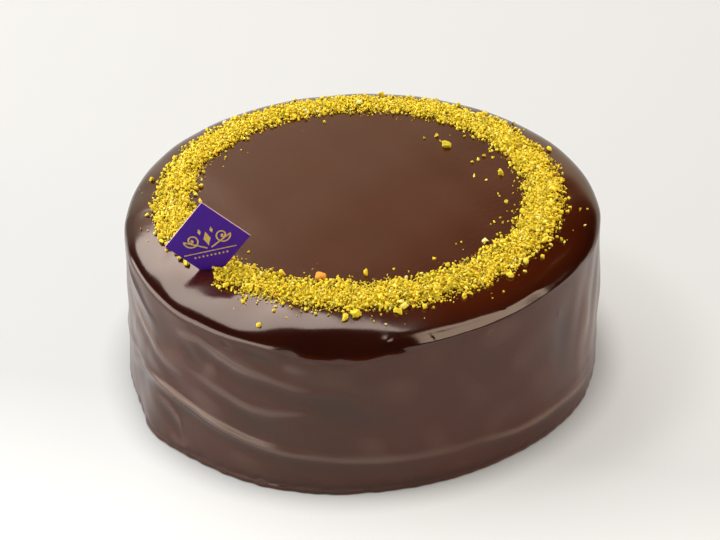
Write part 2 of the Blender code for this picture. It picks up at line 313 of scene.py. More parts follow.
class CakeColours(bpy.types.PropertyGroup):
    """Colours of glaze, nut and card."""

    glaze: bpy.props.FloatVectorProperty(
        name="Glaze", description="Dark chocolate glaze on the top", default=(0.050, 0.0072, 0.0010),
        subtype="COLOR", min=0, max=1)
    glaze_wall: bpy.props.FloatVectorProperty(
        name="Glaze, wall", description="On the wall",
        default=(0.046, 0.0074, 0.0012), subtype="COLOR", min=0, max=1)
    # Painted shade: the darkest colour, standing in for the dark reflections on the rounded edge and at the
    # foot.
    glaze_painted_shade: bpy.props.FloatVectorProperty(
        name="Glaze, painted shade", description="Painted shade on the rounded edge and at the foot",
        default=(0.020, 0.0030, 0.0010), subtype="COLOR", min=0, max=1)
    # Painted shade: the darker colour in the hollows under the folds.
    glaze_hollow_shade: bpy.props.FloatVectorProperty(
        name="Glaze, shade in hollows", description="In the hollows of the wall", default=(0.024, 0.0040, 0.0008),
        subtype="COLOR", min=0, max=1)
    # Painted highlight: the pale colour on the folds' crests stands in for their reflections.
    glaze_crest_highlight: bpy.props.FloatVectorProperty(
        name="Glaze, crest highlights", description="Painted highlight on the crests of its folds",
        default=(0.120, 0.076, 0.062), subtype="COLOR", min=0, max=1)
    nut: bpy.props.FloatVectorProperty(
        name="Nut", description="Chopped pistachio in the mass", default=(0.94, 0.745, 0.042),
        subtype="COLOR", min=0, max=1)
    nut_pale: bpy.props.FloatVectorProperty(
        name="Nut, pale", description="Pale pistachio crumbs", default=(1.0, 0.94, 0.20),
        subtype="COLOR", min=0, max=1)
    nut_white: bpy.props.FloatVectorProperty(
        name="Nut, palest", description="Palest pistachio crumbs", default=(1.0, 0.95, 0.40),
        subtype="COLOR", min=0, max=1)
    nut_green: bpy.props.FloatVectorProperty(
        name="Nut, green", description="Greenest pistachio crumbs", default=(0.54, 0.47, 0.014),
        subtype="COLOR", min=0, max=1)
    nut_brown: bpy.props.FloatVectorProperty(
        name="Nut skin", description="Browned skins", default=(0.36, 0.17, 0.02),
        subtype="COLOR", min=0, max=1)
    nut_orange: bpy.props.FloatVectorProperty(
        name="Toasted bit", description="Orange toasted bits", default=(0.95, 0.42, 0.06),
        subtype="COLOR", min=0, max=1)
    card: bpy.props.FloatVectorProperty(
        name="Card", description="Purple face of the card", default=(0.058, 0.006, 0.33),
        subtype="COLOR", min=0, max=1)
    card_edge: bpy.props.FloatVectorProperty(
        name="Card edge", description="Pale cut edge of the card", default=(0.62, 0.42, 0.52),
        subtype="COLOR", min=0, max=1)
    gold: bpy.props.FloatVectorProperty(
        name="Gold", description="Gold ornament", default=(0.80, 0.58, 0.13),
        subtype="COLOR", min=0, max=1)
    floor: bpy.props.FloatVectorProperty(
        name="Floor", description="Pale floor", default=(0.205, 0.218, 0.238),
        subtype="COLOR", min=0, max=1)


class StageSettings(bpy.types.PropertyGroup):
    """Camera and lights."""

    elevation: bpy.props.FloatProperty(
        name="Camera elevation", description="Above the table", default=math.radians(33.0), unit="ROTATION")
    distance: bpy.props.FloatProperty(
        name="Camera distance", description="From the cake's middle", default=1.15, unit="LENGTH")
    tilt: bpy.props.FloatProperty(
        name="Camera roll", description="Roll of the camera", default=math.radians(-1.5), unit="ROTATION")
    lens: bpy.props.FloatProperty(
        name="Lens", description="Focal length on a 36 mm sensor (mm)", default=123.05)
    softbox: bpy.props.FloatProperty(
        name="Softbox", description="Radiance of the large softbox, overhead to the left", default=5.2)
    strip: bpy.props.FloatProperty(
        name="Strip light", description="Radiance of the strip light at the right", default=4.4)
    panel: bpy.props.FloatProperty(
        name="Panel", description="Radiance of the low window at the left", default=4.4)
    side_panel: bpy.props.FloatProperty(
        name="Side panel", description="Radiance of the low panel at the right", default=1.55)
    fill: bpy.props.FloatProperty(
        name="Fill", default=20.0,
        description="Radiance of the warm fill light at the front right, shown in no reflection")
    key: bpy.props.FloatProperty(
        name="Key", default=26.0,
        description="Radiance of the small key light at the left, shown in no reflection")


# ---------------------------------------------------------------- shape of the glaze

def hump(values, middle, half_width):
    """A soft hump: 1 at its middle, and falling off on both sides."""
    return np.exp(-(((values - middle) / half_width) ** 2))


def swell(azimuth, swells):
    """The summed height of soft humps at these azimuths (radians)."""
    total = np.zeros_like(azimuth)
    for centre, half_width, amount in swells:
        away = (np.degrees(azimuth) - centre + 180) % 360 - 180
        total += amount * hump(away, 0, half_width)
    return total


def layer_line_height(azimuth):
    return LAYER_LINE_HEIGHT + swell(azimuth, LAYER_LINE_SWELLS)


def wall_radius(azimuth, height):
    """The wall's radius at a height between the table and the shoulder."""
    foot = FOOT_RADIUS + swell(azimuth, FOOT_SWELLS)
    top = bpy.context.scene.cake_sizes.radius + swell(azimuth, WALL_SWELLS)
    ledge = LEDGE_DEPTH + swell(azimuth, LEDGE_SWELLS)
    radius = foot + (top - foot) * (height / WALL_HEIGHT) ** WALL_BOW
    return radius + ledge * hump(height, layer_line_height(azimuth), LEDGE_HALF_HEIGHT)


def shoulder_drop(azimuth):
    return SHOULDER_DROP + swell(azimuth, DROP_SWELLS)


def wall_end(azimuth):
    """The height at which the wall ends and the shoulder begins."""
    return bpy.context.scene.cake_sizes.height - shoulder_drop(azimuth)


def flat_edge(azimuth):
    """The radius at which the shoulder ends and the flat top begins."""
    return wall_radius(azimuth, wall_end(azimuth)) - SHOULDER_WIDTH


def fade_in_and_out(degrees, start, end, rise, fall):
    """1 between two azimuths, easing from 0 over these stretches inside the ends."""
    ends = np.clip((degrees - start) / rise, 0, 1) * np.clip((end - degrees) / fall, 0, 1)
    return ends * ends * (3 - 2 * ends)


def early_slope(azimuth, radius):
    """How much lower than evenly rounded the shoulder lies in front of the card."""
    out = np.clip((radius - flat_edge(azimuth)) / SHOULDER_WIDTH, 0.0, 1.0)
    window = fade_in_and_out(np.degrees(azimuth), *EARLY_SLOPE_STRETCH)
    return EARLY_SLOPE * window * shoulder_drop(azimuth) * out ** EARLY_SLOPE_LAG * (1 - out)


def glaze_height(x, y):
    """The height of the bare glaze on the top and over the shoulder, from the cake's axis."""
    azimuth = np.arctan2(y, x)
    radius = np.hypot(x, y)
    out = np.clip((radius - flat_edge(azimuth)) / SHOULDER_WIDTH, 0.0, 1.0)
    rounded = shoulder_drop(azimuth) * np.sqrt(1 - out ** 2)
    return wall_end(azimuth) + rounded - early_slope(azimuth, radius)


# The rows of the glaze's mesh, from the foot up and in to the middle.
FOOT_STATIONS = (0.0, 0.0, 0.10, 0.40, 1.0)       # heights, as shares of the foot's roll
FOOT_STATION_TUCKS = (1.6, 1.0, 0.55, 0.15, 0.0)  # how far in, as shares of the tuck
STEPS_ABOVE_FOOT = 8                              # up to this height:
FOOT_BAND = 0.0048
STEPS_BELOW_LINE = 12
STEPS_AT_LINE = 12                                # rows crowd together within this band:
LINE_BAND = 0.0016
STEPS_ABOVE_LINE = 48
SHOULDER_STEPS = 40
TOP_STEPS = 20
TOP_REACH = 0.97                                  # the innermost ring lies at 1 - this share


def glaze_outline(azimuth, station, uneven=True):
    """Radius, height, facing (0 sideways, a quarter turn up) and run at these stations of the outline.

    Stations count from the foot's underside, up the wall, over the shoulder and in to the middle.
    """
    cake_height = bpy.context.scene.cake_sizes.height
    turn = azimuth if uneven else np.zeros_like(azimuth) + math.pi / 2
    drop = shoulder_drop(turn)
    wall_top = wall_end(turn)
    line = layer_line_height(turn)
    foot_count = len(FOOT_STATIONS)

    foot_at = np.clip(station, 0, foot_count - 1)
    foot_height = np.array(FOOT_STATIONS)[foot_at] * FOOT_ROLL_HEIGHT
    foot_tuck = np.array(FOOT_STATION_TUCKS)[foot_at] * FOOT_TUCK

    step = station - foot_count + 1.0
    wall_z = np.zeros_like(wall_top) + FOOT_ROLL_HEIGHT
    bands = (
        (STEPS_ABOVE_FOOT, FOOT_BAND), (STEPS_BELOW_LINE, line - LINE_BAND),
        (STEPS_AT_LINE, line + LINE_BAND), (STEPS_ABOVE_LINE, wall_top))
    low = wall_z
    for steps, high in bands:
        wall_z = wall_z + (high - low) * np.clip(step / steps, 0, 1)
        low = high
        step = step - steps
    top_edge = flat_edge(turn)
    on_wall = step < 0

    facing = math.radians(90) * np.clip(step / SHOULDER_STEPS, 0, 1)
    angle = np.arctan2(drop * np.sin(facing), SHOULDER_WIDTH * np.cos(facing))
    inward = SHOULDER_WIDTH * (1 - np.cos(angle))
    upward = drop * np.sin(angle)
    top_share = np.clip((step - SHOULDER_STEPS) / TOP_STEPS, 0, 1)
    top_radius = top_edge * (1 - TOP_REACH * top_share)

    on_foot = station < foot_count
    radius = np.select(
        [on_foot, on_wall, top_share > 0],
        [wall_radius(turn, foot_height) - foot_tuck, wall_radius(turn, wall_z), top_radius],
        top_edge + SHOULDER_WIDTH - inward)
    height = np.select(
        [on_foot, on_wall, top_share > 0],
        [foot_height, wall_z, np.zeros_like(wall_z) + cake_height], wall_top + upward)
    return radius, height, facing, height - upward + np.hypot(inward, upward)


def fold_relief(azimuth, run, folds):
    """Folds that the glaze set in as it ran down the wall."""
    degrees = np.degrees(azimuth)
    relief = np.zeros_like(azimuth)
    for rise, above, below, path in folds:
        turns, runs, shares = zip(*path)
        away = run - np.interp(degrees, turns, runs)
        reach = np.where(away > 0, above, below)
        share = np.interp(degrees, turns, shares, left=0.0, right=0.0)
        trough = hump(away, -TROUGH_DISTANCE * below, TROUGH_REACH * below)
        relief += rise * share * (hump(away, 0, reach) - TROUGH_DEPTH * trough)
    return relief


def dent_relief(azimuth, run, radius):
    """Small dents and beads in the glaze."""
    relief = np.zeros_like(azimuth)
    for turn, middle, half_length, half_height, rise, slant in DENTS:
        along = np.radians((np.degrees(azimuth) - turn + 180) % 360 - 180) * radius
        up = run - middle
        tilt = math.radians(slant)
        lengthwise = (along * math.cos(tilt) + up * math.sin(tilt)) / half_length
        across = (up * math.cos(tilt) - along * math.sin(tilt)) / half_height
        relief += rise * np.exp(-(lengthwise ** 2) - across ** 2)
    return relief


def slow_waves(azimuth, height, count, seed, turns, rises):
    """A gentle unevenness: a sum of seeded waves that close on themselves round the cake."""
    draw = np.random.default_rng(seed)
    total = np.zeros_like(azimuth)
    for wave in range(count):
        around = draw.integers(turns[0], turns[1] + 1)
        upward = draw.uniform(*rises) * draw.choice((-1, 1))
        total += np.sin(around * azimuth + upward * height + draw.uniform(0, 2 * math.pi))
    return total / math.sqrt(count)


def bevel_relief(azimuth, radius, height, facing, run):
    """Pushes the rounded shoulder out to an upright wall that meets a flat bevel."""
    degrees = np.degrees(azimuth)
    turns, heights = zip(*BEVEL_PATH)
    crease = np.interp(degrees, turns, heights)
    crease = crease + CREASE_RIPPLE * np.sin(np.radians(degrees) * CREASE_RIPPLES)
    wall_top = wall_end(azimuth)
    wall = wall_radius(azimuth, wall_top)
    to_wall = (wall - radius) / np.maximum(np.cos(facing), 0.05)
    inside = (wall - radius) * math.cos(BEVEL_FACING) + (crease - height) * math.sin(BEVEL_FACING)
    to_bevel = inside / np.maximum(np.cos(facing - BEVEL_FACING), 0.05)
    nearer = np.minimum(to_wall, to_bevel)
    push = nearer - CREASE_ROUNDING * np.exp(-np.abs(to_wall - to_bevel) / (2 * CREASE_ROUNDING))
    above = run - crease
    push = push * (1 - np.clip((above - BEVEL_WIDTH) / BEVEL_FADE, 0, 1)) ** 2
    push = np.where(run < wall_top, 0.0, np.clip(push, *BEVEL_PUSH))
    return push * fade_in_and_out(degrees, turns[0], turns[-1], *BEVEL_EASING)


def streak_relief(azimuth, height):
    """Upright ripples at the far right of the wall."""
    degrees = np.degrees(azimuth)
    band = hump(degrees, STREAK_MIDDLE, STREAK_HALF_WIDTH)
    wander = STREAK_WANDER * np.sin(height * STREAK_BENDS)
    rise = np.clip(height / STREAK_FOOT_FADE, 0, 1)
    rise = rise * np.clip((STREAK_TOP - height) / STREAK_TOP_FADE, 0, 1)
    return STREAK_RISE * band * rise * np.sin(np.radians(degrees + wander) * STREAKS)


def foot_relief(azimuth, height):
    """The uneven lower edge, where the glaze gathered in small beads."""
    beads = slow_waves(azimuth, height, BEAD_WAVES, BEAD_SEED, BEAD_TURNS, (0, 10))
    strength = FOOT_STRENGTH + FOOT_STRENGTH * hump(np.degrees(azimuth), FOOT_MIDDLE, FOOT_HALF_WIDTH)
    rim = hump(height, 0, RIM_REACH) * (RIM_RISE + RIM_BEADS * beads)
    groove = GROOVE_DEPTH * hump(height - GROOVE_HEIGHT, GROOVE_WANDER * beads, GROOVE_REACH)
    return strength * (rim - groove)


def wave_relief(azimuth, run):
    """The gentle waves of the wall."""
    at_left = hump(np.degrees(azimuth), WAVE_MIDDLE, WAVE_HALF_WIDTH)
    waves = slow_waves(azimuth, run, WAVE_COUNT, WAVE_SEED, WAVE_TURNS, WAVE_BENDS)
    return WAVE_RISE * (1 + WAVE_MORE_AT_LEFT * at_left) * waves


def top_relief(x, y):
    """The gentle waves of the flat top."""
    waves = TOP_WAVE_RISES[0] * np.sin(x * 95 + 1.0) * np.sin(y * 80 + 0.4)
    return waves + TOP_WAVE_RISES[1] * np.sin(x * 210 + y * 130)


def painted_glaze_shading(azimuth, height, facing, relief):
    """The glaze's painted shading: painted highlights on the crests, painted shade in the hollows, at the
    foot and on the rounded edge.
    """
    # pale is a painted highlight where the relief rises, and a painted shade where it sinks.
    pale = np.tanh(relief / TONE_RELIEF)
    pale *= 1 - TONE_CALM_AT_RIGHT * hump(np.degrees(azimuth), TONE_CALM_MIDDLE, TONE_CALM_HALF_WIDTH)
    wall_tone = WALL_TONE + np.where(pale > 0, 1 - WALL_TONE, WALL_TONE - HOLLOW_SHADE_TONE) * pale
    # painted shade at the foot
    wall_tone -= FOOT_PAINTED_SHADE * hump(height, 0, FOOT_PAINTED_SHADE_REACH)
    up = np.degrees(facing)
    # on the rounded edge the tone falls to 0, the darkest painted shade
    edge_tone = np.interp(up, TOP_TONE_FACING, (0, TOP_TONE))
    on_wall = np.interp(up, SHOULDER_TONE_FACING, (1, 0))
    return np.clip(wall_tone * on_wall + edge_tone * (1 - on_wall), 0, 1)


def shape_glaze(piece, outline):
    """Moves the spun mesh's corners from its even outline to the uneven one of each azimuth."""
    corners = read_corners(piece)
    spun = np.arctan2(corners[:, 1], corners[:, 0])
    azimuth = spun - FRONT_CROWDING * np.cos(spun)
    azimuth = (azimuth + math.pi) % (2 * math.pi) - math.pi
    from_axis = np.hypot(corners[:, 0], corners[:, 1])
    gap = np.abs(from_axis[:, None] - outline[None, :, 0])
    gap += np.abs(corners[:, 2, None] - outline[None, :, 1])
    nearest = gap.argmin(axis=1)
    inner = nearest >= len(outline) - 1
    under = nearest == 0
    station = np.clip(nearest - 1, 0, len(outline) - 3)
    radius, height, facing, run = glaze_outline(azimuth, station)

    relief = fold_relief(azimuth, run, FOLDS) + dent_relief(azimuth, run, radius)
    thick = fold_relief(azimuth, run, THICK_FOLD)
    relief += bevel_relief(azimuth, radius, height, facing, run)
    relief += streak_relief(azimuth, height) + foot_relief(azimuth, height)
    waves = wave_relief(azimuth, run)
    relief += waves
    relief *= np.where(height <= 0, 0.0, 1.0)
    # The relief that shows in the painted shading, less the gentle waves, with the thick fold as painted
    # shade.
    shown = relief - TONE_WAVES_LEFT_OUT * waves - THICK_FOLD_PAINTED_SHADE * thick
    on_top = np.interp(np.degrees(facing), TOP_WAVE_FACING, (0, 1))
    top_waves = top_relief(from_axis * np.cos(azimuth), from_axis * np.sin(azimuth))
    relief = (relief + thick) * (1 - on_top) + top_waves * on_top

    lowered = early_slope(azimuth, radius)
    radius = radius + relief * np.cos(facing)
    height = height + relief * np.sin(facing) - lowered
    radius[inner | under] = 0.0
    height[under] = 0.0
    moved = np.stack([radius * np.cos(azimuth), radius * np.sin(azimuth), height], axis=1)
    write_corners(piece, moved + np.array([*CAKE_AXIS, 0.0]))
    # The painted shading, which the material reads for its colour and its gloss.
    set_attribute(piece.data, "thinness", painted_glaze_shading(azimuth, height, facing, shown))


# ---------------------------------------------------------------- modelling helpers

def deselect_all():
    if bpy.context.mode != "OBJECT":
        bpy.ops.object.mode_set(mode="OBJECT")
    bpy.ops.object.select_all(action="DESELECT")


def read_corners(piece):
    corners = np.empty(len(piece.data.vertices) * 3)
    piece.data.vertices.foreach_get("co", corners)
    return corners.reshape(-1, 3)


def write_corners(piece, corners):
    piece.data.vertices.foreach_set("co", corners.astype(np.float32).ravel())
    piece.data.update()


def set_attribute(mesh, name, values):
    """A number for each corner of the mesh, which its material reads by this name."""
    attribute = mesh.attributes.new(name, "FLOAT", "POINT")
    attribute.data.foreach_set("value", values.astype(np.float32))


def name_piece(piece, name):
    piece.name = name
    piece.data.name = name
    return piece


def spin_outline(name, outline, columns):
    """Draws an outline of (radius, height) points as an edge chain and spins it round the axis."""
    deselect_all()
    bpy.ops.mesh.primitive_plane_add(size=0.01)
    bpy.ops.object.mode_set(mode="EDIT")
    bpy.ops.mesh.select_all(action="SELECT")
    bpy.ops.mesh.merge(type="CENTER")
    bpy.ops.transform.translate(value=(outline[0][0], 0.0, outline[0][1]))
    for here, onward in zip(outline, outline[1:]):
        step = (onward[0] - here[0], 0.0, onward[1] - here[1])
        bpy.ops.mesh.extrude_vertices_move(TRANSFORM_OT_translate={"value": step})
    bpy.ops.mesh.select_all(action="SELECT")
    bpy.ops.mesh.spin(steps=columns, angle=2 * math.pi, center=(0, 0, 0), axis=(0, 0, 1))
    bpy.ops.mesh.select_all(action="SELECT")
    bpy.ops.mesh.remove_doubles(threshold=1e-6)
    bpy.ops.mesh.normals_make_consistent(inside=False)
    bpy.ops.object.mode_set(mode="OBJECT")
    return name_piece(bpy.context.object, name)


def card_matrix():
    """Places the card's own frame: buried corner at the origin, square in the XZ plane."""
    card = bpy.context.scene.card_sizes
    turn = Matrix.Rotation(card.turn, 4, "Z")
    lean = Matrix.Rotation(card.lean, 4, "X")
    roll = Matrix.Rotation(card.roll, 4, "Y")
    corner = (CARD_CORNER[0] + CAKE_AXIS[0], CARD_CORNER[1] + CAKE_AXIS[1], CARD_CORNER[2])
    return Matrix.Translation(corner) @ turn @ lean @ roll


def add_card_block(side, thickness):
    """A thin square on its corner at the card's place."""
    deselect_all()
    bpy.ops.mesh.primitive_cube_add(size=1.0)
    block = bpy.context.object
    middle_height = bpy.context.scene.card_sizes.side * math.sqrt(0.5)
    on_corner = Matrix.Translation((0.0, 0.0, middle_height)) @ Matrix.Rotation(math.radians(45), 4, "Y")
    size = Matrix.Diagonal((side, thickness, side, 1.0))
    block.matrix_world = card_matrix() @ on_corner @ size
    bpy.ops.object.transform_apply(location=True, rotation=True, scale=True)
    return block


def cut_card_slot(glaze):
    """The slot that the card's corner has pressed into the glaze."""
    card = bpy.context.scene.card_sizes
    cutter = add_card_block(card.side + CARD_PLAY, card.thickness + CARD_PLAY)
    slot = glaze.modifiers.new("card slot", "BOOLEAN")
    slot.operation = "DIFFERENCE"
    slot.object = cutter
    slot.solver = "EXACT"
    deselect_all()
    bpy.context.view_layer.objects.active = glaze
    bpy.ops.object.modifier_apply(modifier=slot.name)
    bpy.data.objects.remove(cutter, do_unlink=True)


def glaze_section():
    """The even outline that is spun: the middle of the underside, the stations, the middle of the top."""
    wall_steps = STEPS_ABOVE_FOOT + STEPS_BELOW_LINE + STEPS_AT_LINE + STEPS_ABOVE_LINE
    stations = np.arange(len(FOOT_STATIONS) + wall_steps + SHOULDER_STEPS + TOP_STEPS)
    radius, height, facing, run = glaze_outline(np.zeros(len(stations)), stations, uneven=False)
    return [(0.0, 0.0)] + list(zip(radius, height)) + [(0.0, bpy.context.scene.cake_sizes.height)]


# ---------------------------------------------------------------- the pistachio

# The height grid that the crumbs fall on.
GRID_STEP = 0.00035
GRID_HALF = 0.118

# Each kind of crumb: its name, which amount it takes, its smallest and largest radius, how strongly the
# small ones prevail, and how fine its modelled crumbs are.
CRUMB_KINDS = (
    ("pistachio_lumps", "lumps", 0.00085, 0.00135, 1.6, 3),
    ("pistachio_crumbs", "crumbs", 0.00044, 0.00082, 1.3, 2),
    ("pistachio_crumbs_more", "crumbs", 0.00044, 0.00082, 1.3, 2),
    ("pistachio_bits", "bits", 0.00024, 0.00046, 1.1, 1),
    ("pistachio_bits_more", "bits", 0.00024, 0.00046, 1.1, 1),
    ("pistachio_grit", "grit", 0.00013, 0.00026, 1.0, 1),
)
CRUMB_MODELS = 8          # how many crumbs are modelled for each kind
CRUMB_CUTS = 6            # flat breaks on each, this far from its middle and this flat:
CRUMB_CUT_DEPTHS = (0.35, 0.80)
CRUMB_CUT_FLATNESS = 0.9
CRUMB_WAVES = 7           # and uneven swells, this fine and this high:
CRUMB_WAVE_BENDS = (1.4, 3.0)
CRUMB_WAVE_RISE = 0.085
CRUMB_ROUGHNESS = (0.0, 0.15, 0.06, 0.02)    # by fineness
CRUMB_STRETCH = (0.65, 1.28)
CRUMB_SETTLING = 0.30     # how far a crumb sinks in, for its radius
ROLLS = (1.0, 1.8, 2.6, 3.4)    # how far it may roll to a lower place, for its radius
LARGE_ONES_LATER = 300    # how much later the larger crumbs fall, for each metre of radius

TONE_MIDDLE = 0.54
TONE_SPREAD = 0.20
TONE_LIMITS = (0.16, 1.0)
BROWNED_SHARE = 0.025
BROWNED_TONES = (0.0, 0.2)

PILE_LIMIT = 0.0019       # how high above the glaze a crumb's middle may come to rest
GATHERED_SHARE = 0.55
STRAY_SHARE = 0.22
CLUSTER_COUNT = 1500
CLUSTER_SPREAD = 0.00085
CLUSTER_OFFSETS = (0.55, 1.3)    # how far from the ring's middle line, usual and most, for its half-width
LEAST_KEPT = 0.12         # how readily a crumb is kept where the ring is thinnest,
KEPT_AT_MIDDLE = 0.4      # and how much more readily near its middle line,
KEPT_OUT_TO = 1.2         # fading out this far away from that line, for its half-width

# Crumbs that stand out, listed one by one: x, y, radius and tone.
LONE_CRUMBS = (
    (-0.0798, -0.0442, 0.0011, 0.16), (-0.0764, -0.0492, 0.0013, 0.22), (-0.0176, -0.0632, 0.0017, -0.2),
    (0.0630, -0.0337, 0.0011, 1.15), (0.0561, -0.0375, 0.0010, 1.15), (0.0426, 0.0480, 0.0016, 0.25),
    (0.0399, 0.0530, 0.0005, 0.50), (0.0382, 0.0577, 0.0010, 0.50), (0.0324, 0.0561, 0.0008, 0.12),
    (0.0668, 0.0208, 0.0012, 0.30), (0.0543, 0.0196, 0.0007, 0.90), (0.0597, 0.0157, 0.0005, 0.80),
    (0.0541, 0.0325, 0.0006, 0.60), (0.0570, 0.0342, 0.0007, 0.80), (0.0600, 0.0378, 0.0007, 0.60),
    (0.0677, -0.0043, 0.0007, 0.60), (0.0645, 0.0029, 0.0005, 0.60), (0.0612, -0.0211, 0.0006, 0.60),
    (0.0641, -0.0178, 0.0005, 0.70), (0.1010, -0.0105, 0.0007, 0.60), (0.1046, -0.0088, 0.0005, 0.60),
    (0.1020, -0.0230, 0.0005, 0.95), (-0.0961, 0.0261, 0.0010, 0.30),
)
# The same for crumbs beyond the ring's edge in front, from left to right.
FRONT_CRUMBS = (
    (-0.0440, -0.0935, 0.0010, 0.50), (-0.0068, -0.0945, 0.0014, 0.40), (-0.0022, -0.0930, 0.0014, 0.35),
    (0.0155, -0.0915, 0.0013, 0.40), (0.0105, -0.0985, 0.0005, 1.00),
)


def ring_offset(x, y):
    """How far outwards of the ring's middle line a point of the top lies."""
    return np.hypot(x, y - RING_SHIFT_BACK) - RING_RADIUS


def ring_half_width(azimuth):
    """Half the width of the dense part of the ring, which is widest at the front and the right."""
    return RING_HALF_WIDTH + swell(azimuth, RING_SWELLS)


def patchiness(x, y):
    """Uneven thickness of the ring: about 0 in the thin spots and 1 in the thick ones."""
    waves = np.sin(x * 310 + 1.3 * np.sin(y * 270)) * np.sin(y * 290 + 1.1 * np.sin(x * 250 + 2.0))
    waves = waves + 0.6 * np.sin(x * 640 + y * 510 + 0.7) * np.sin(y * 700 - x * 430)
    return np.clip(0.5 + 0.32 * waves, 0, 1)


def near_card(x, y):
    """True where no pistachio lies: in the card's slot, and in front of its left half."""
    right, back = x - CARD_CORNER[0], y - CARD_CORNER[1]
    slot = np.abs(right - CARD_SLOT_MIDDLE) < CARD_SLOT_REACH[0]
    slot &= np.abs(back - CARD_SLOT_MIDDLE) < CARD_SLOT_REACH[1]
    bare = (right < BARE_RIGHT) & (back < BARE_BACK - BARE_SLOPE * right)
    return slot | bare


def bed_height(x, y):
    """How high the mass of fine crumbs lies above the glaze; below it where the ring has thinned out."""
    across = ring_offset(x, y) / ring_half_width(np.arctan2(y, x))
    mound = 1.0 - np.abs(across / BED_EDGE) ** 3
    lumpy = 0.5 * np.sin(x * 1650 + 2.0 * np.sin(y * 900)) * np.sin(y * 1720 + 2.0 * np.sin(x * 1100))
    lumpy = lumpy + 0.5 * np.sin(x * 3300 + y * 900) * np.sin(y * 3500 - x * 1200)
    rise = BED_RISE * (patchiness(x, y) + 0.25) * mound + BED_LUMPS * lumpy - BED_THINNING
    return np.where(near_card(x, y), -BED_SINK, np.maximum(rise, -BED_SINK))


class Heap:
    """The surface that crumbs fall on, as a fine height grid over the cake's top."""

    def __init__(self):
        count = int(2 * GRID_HALF / GRID_STEP)
        line = (np.arange(count) + 0.5) * GRID_STEP - GRID_HALF
        self.line = line
        across, along = np.meshgrid(line, line)
        self.height = glaze_height(across, along) + np.maximum(bed_height(across, along), 0.0)
        self.count = count

    def cells(self, place, radius):
        """The window of the grid below a crumb, and the crumb's half-thickness over each cell."""
        reach = int(math.ceil(radius / GRID_STEP))
        column = int((place[0] + GRID_HALF) / GRID_STEP)
        row = int((place[1] + GRID_HALF) / GRID_STEP)
        rows = slice(row - reach, row + reach + 1)
        columns = slice(column - reach, column + reach + 1)
        away = ((self.line[rows, None] - place[1]) ** 2 + (self.line[None, columns] - place[0]) ** 2)
        inside = radius * radius - away
        return rows, columns, inside

    def rest_height(self, place, radius):
        rows, columns, inside = self.cells(place, radius)
        under = inside > 0
        if not under.any():
            return float(self.height[rows, columns].mean())
        return float((self.height[rows, columns][under] + np.sqrt(inside[under])).max())

    def add(self, place, radius, middle):
        rows, columns, inside = self.cells(place, radius)
        under = inside > 0
        window = self.height[rows, columns]
        window[under] = np.maximum(window[under], middle + np.sqrt(inside[under]))


def strew(draw, count, clusters):
    """Places of crumbs on the ring: many gathered in small clusters, the rest loose."""
    places = np.empty((0, 2))
    while len(places) < count:
        tries = 2 * count
        azimuth = draw.uniform(-math.pi, math.pi, tries)
        width = ring_half_width(azimuth)
        across = draw.uniform(-1, 1, tries)
        stray = draw.uniform(size=tries) < STRAY_SHARE
        offset = np.where(stray, draw.normal(0.0, 1.0, tries), across) * width
        x = (RING_RADIUS + offset) * np.cos(azimuth)
        y = RING_SHIFT_BACK + (RING_RADIUS + offset) * np.sin(azimuth)
        chosen = clusters[draw.integers(0, len(clusters), tries)]
        gathered = draw.uniform(size=tries) < GATHERED_SHARE
        x = np.where(gathered, chosen[:, 0] + draw.normal(0, CLUSTER_SPREAD, tries), x)
        y = np.where(gathered, chosen[:, 1] + draw.normal(0, CLUSTER_SPREAD, tries), y)
        away = np.abs(ring_offset(x, y)) / ring_half_width(np.arctan2(y, x))
        edge = np.clip(KEPT_OUT_TO - away, 0, 1)
        wanted = LEAST_KEPT + patchiness(x, y) * np.sqrt(edge) + KEPT_AT_MIDDLE * edge
        keep = draw.uniform(size=tries) < wanted
        keep &= np.hypot(x, y) < RING_LIMIT
        keep &= ~near_card(x, y)
        places = np.concatenate([places, np.column_stack([x, y])[keep]])
    return places[:count]


def cluster_places(draw):
    """Middles of the small clusters, mostly in the dense part of the ring."""
    azimuth = draw.uniform(-math.pi, math.pi, CLUSTER_COUNT)
    usual, most = CLUSTER_OFFSETS
    offset = ring_half_width(azimuth) * np.clip(draw.normal(0, usual, CLUSTER_COUNT), -most, most)
    x = (RING_RADIUS + offset) * np.cos(azimuth)
    y = RING_SHIFT_BACK + (RING_RADIUS + offset) * np.sin(azimuth)
    return np.column_stack([x, y])


def drop_crumbs(draw, places, radii, lone_count):
    """Drops the crumbs one by one: the height of each one's middle, and whether it stays on the heap.

    Each rolls to the lowest of a few places nearby, apart from the lone ones at the end.
    """
    order = np.argsort(draw.uniform(size=len(radii)) + radii * LARGE_ONES_LATER)
    heap = Heap()
    middles = np.zeros(len(radii))
    kept = np.ones(len(radii), dtype=bool)
    for index in order:
        radius = radii[index]
        tries = [places[index]]
        if index < len(radii) - lone_count:
            tries += [places[index] + draw.normal(0, roll * radius, 2) for roll in ROLLS]
        rests = [heap.rest_height(place, radius) for place in tries]
        best = int(np.argmin(rests))
        places[index] = tries[best]
        middles[index] = rests[best] - CRUMB_SETTLING * radius
        above_glaze = middles[index] - float(glaze_height(*places[index]))
        kept[index] = above_glaze < PILE_LIMIT
        if kept[index]:
            heap.add(places[index], radius, middles[index])
    return middles, kept


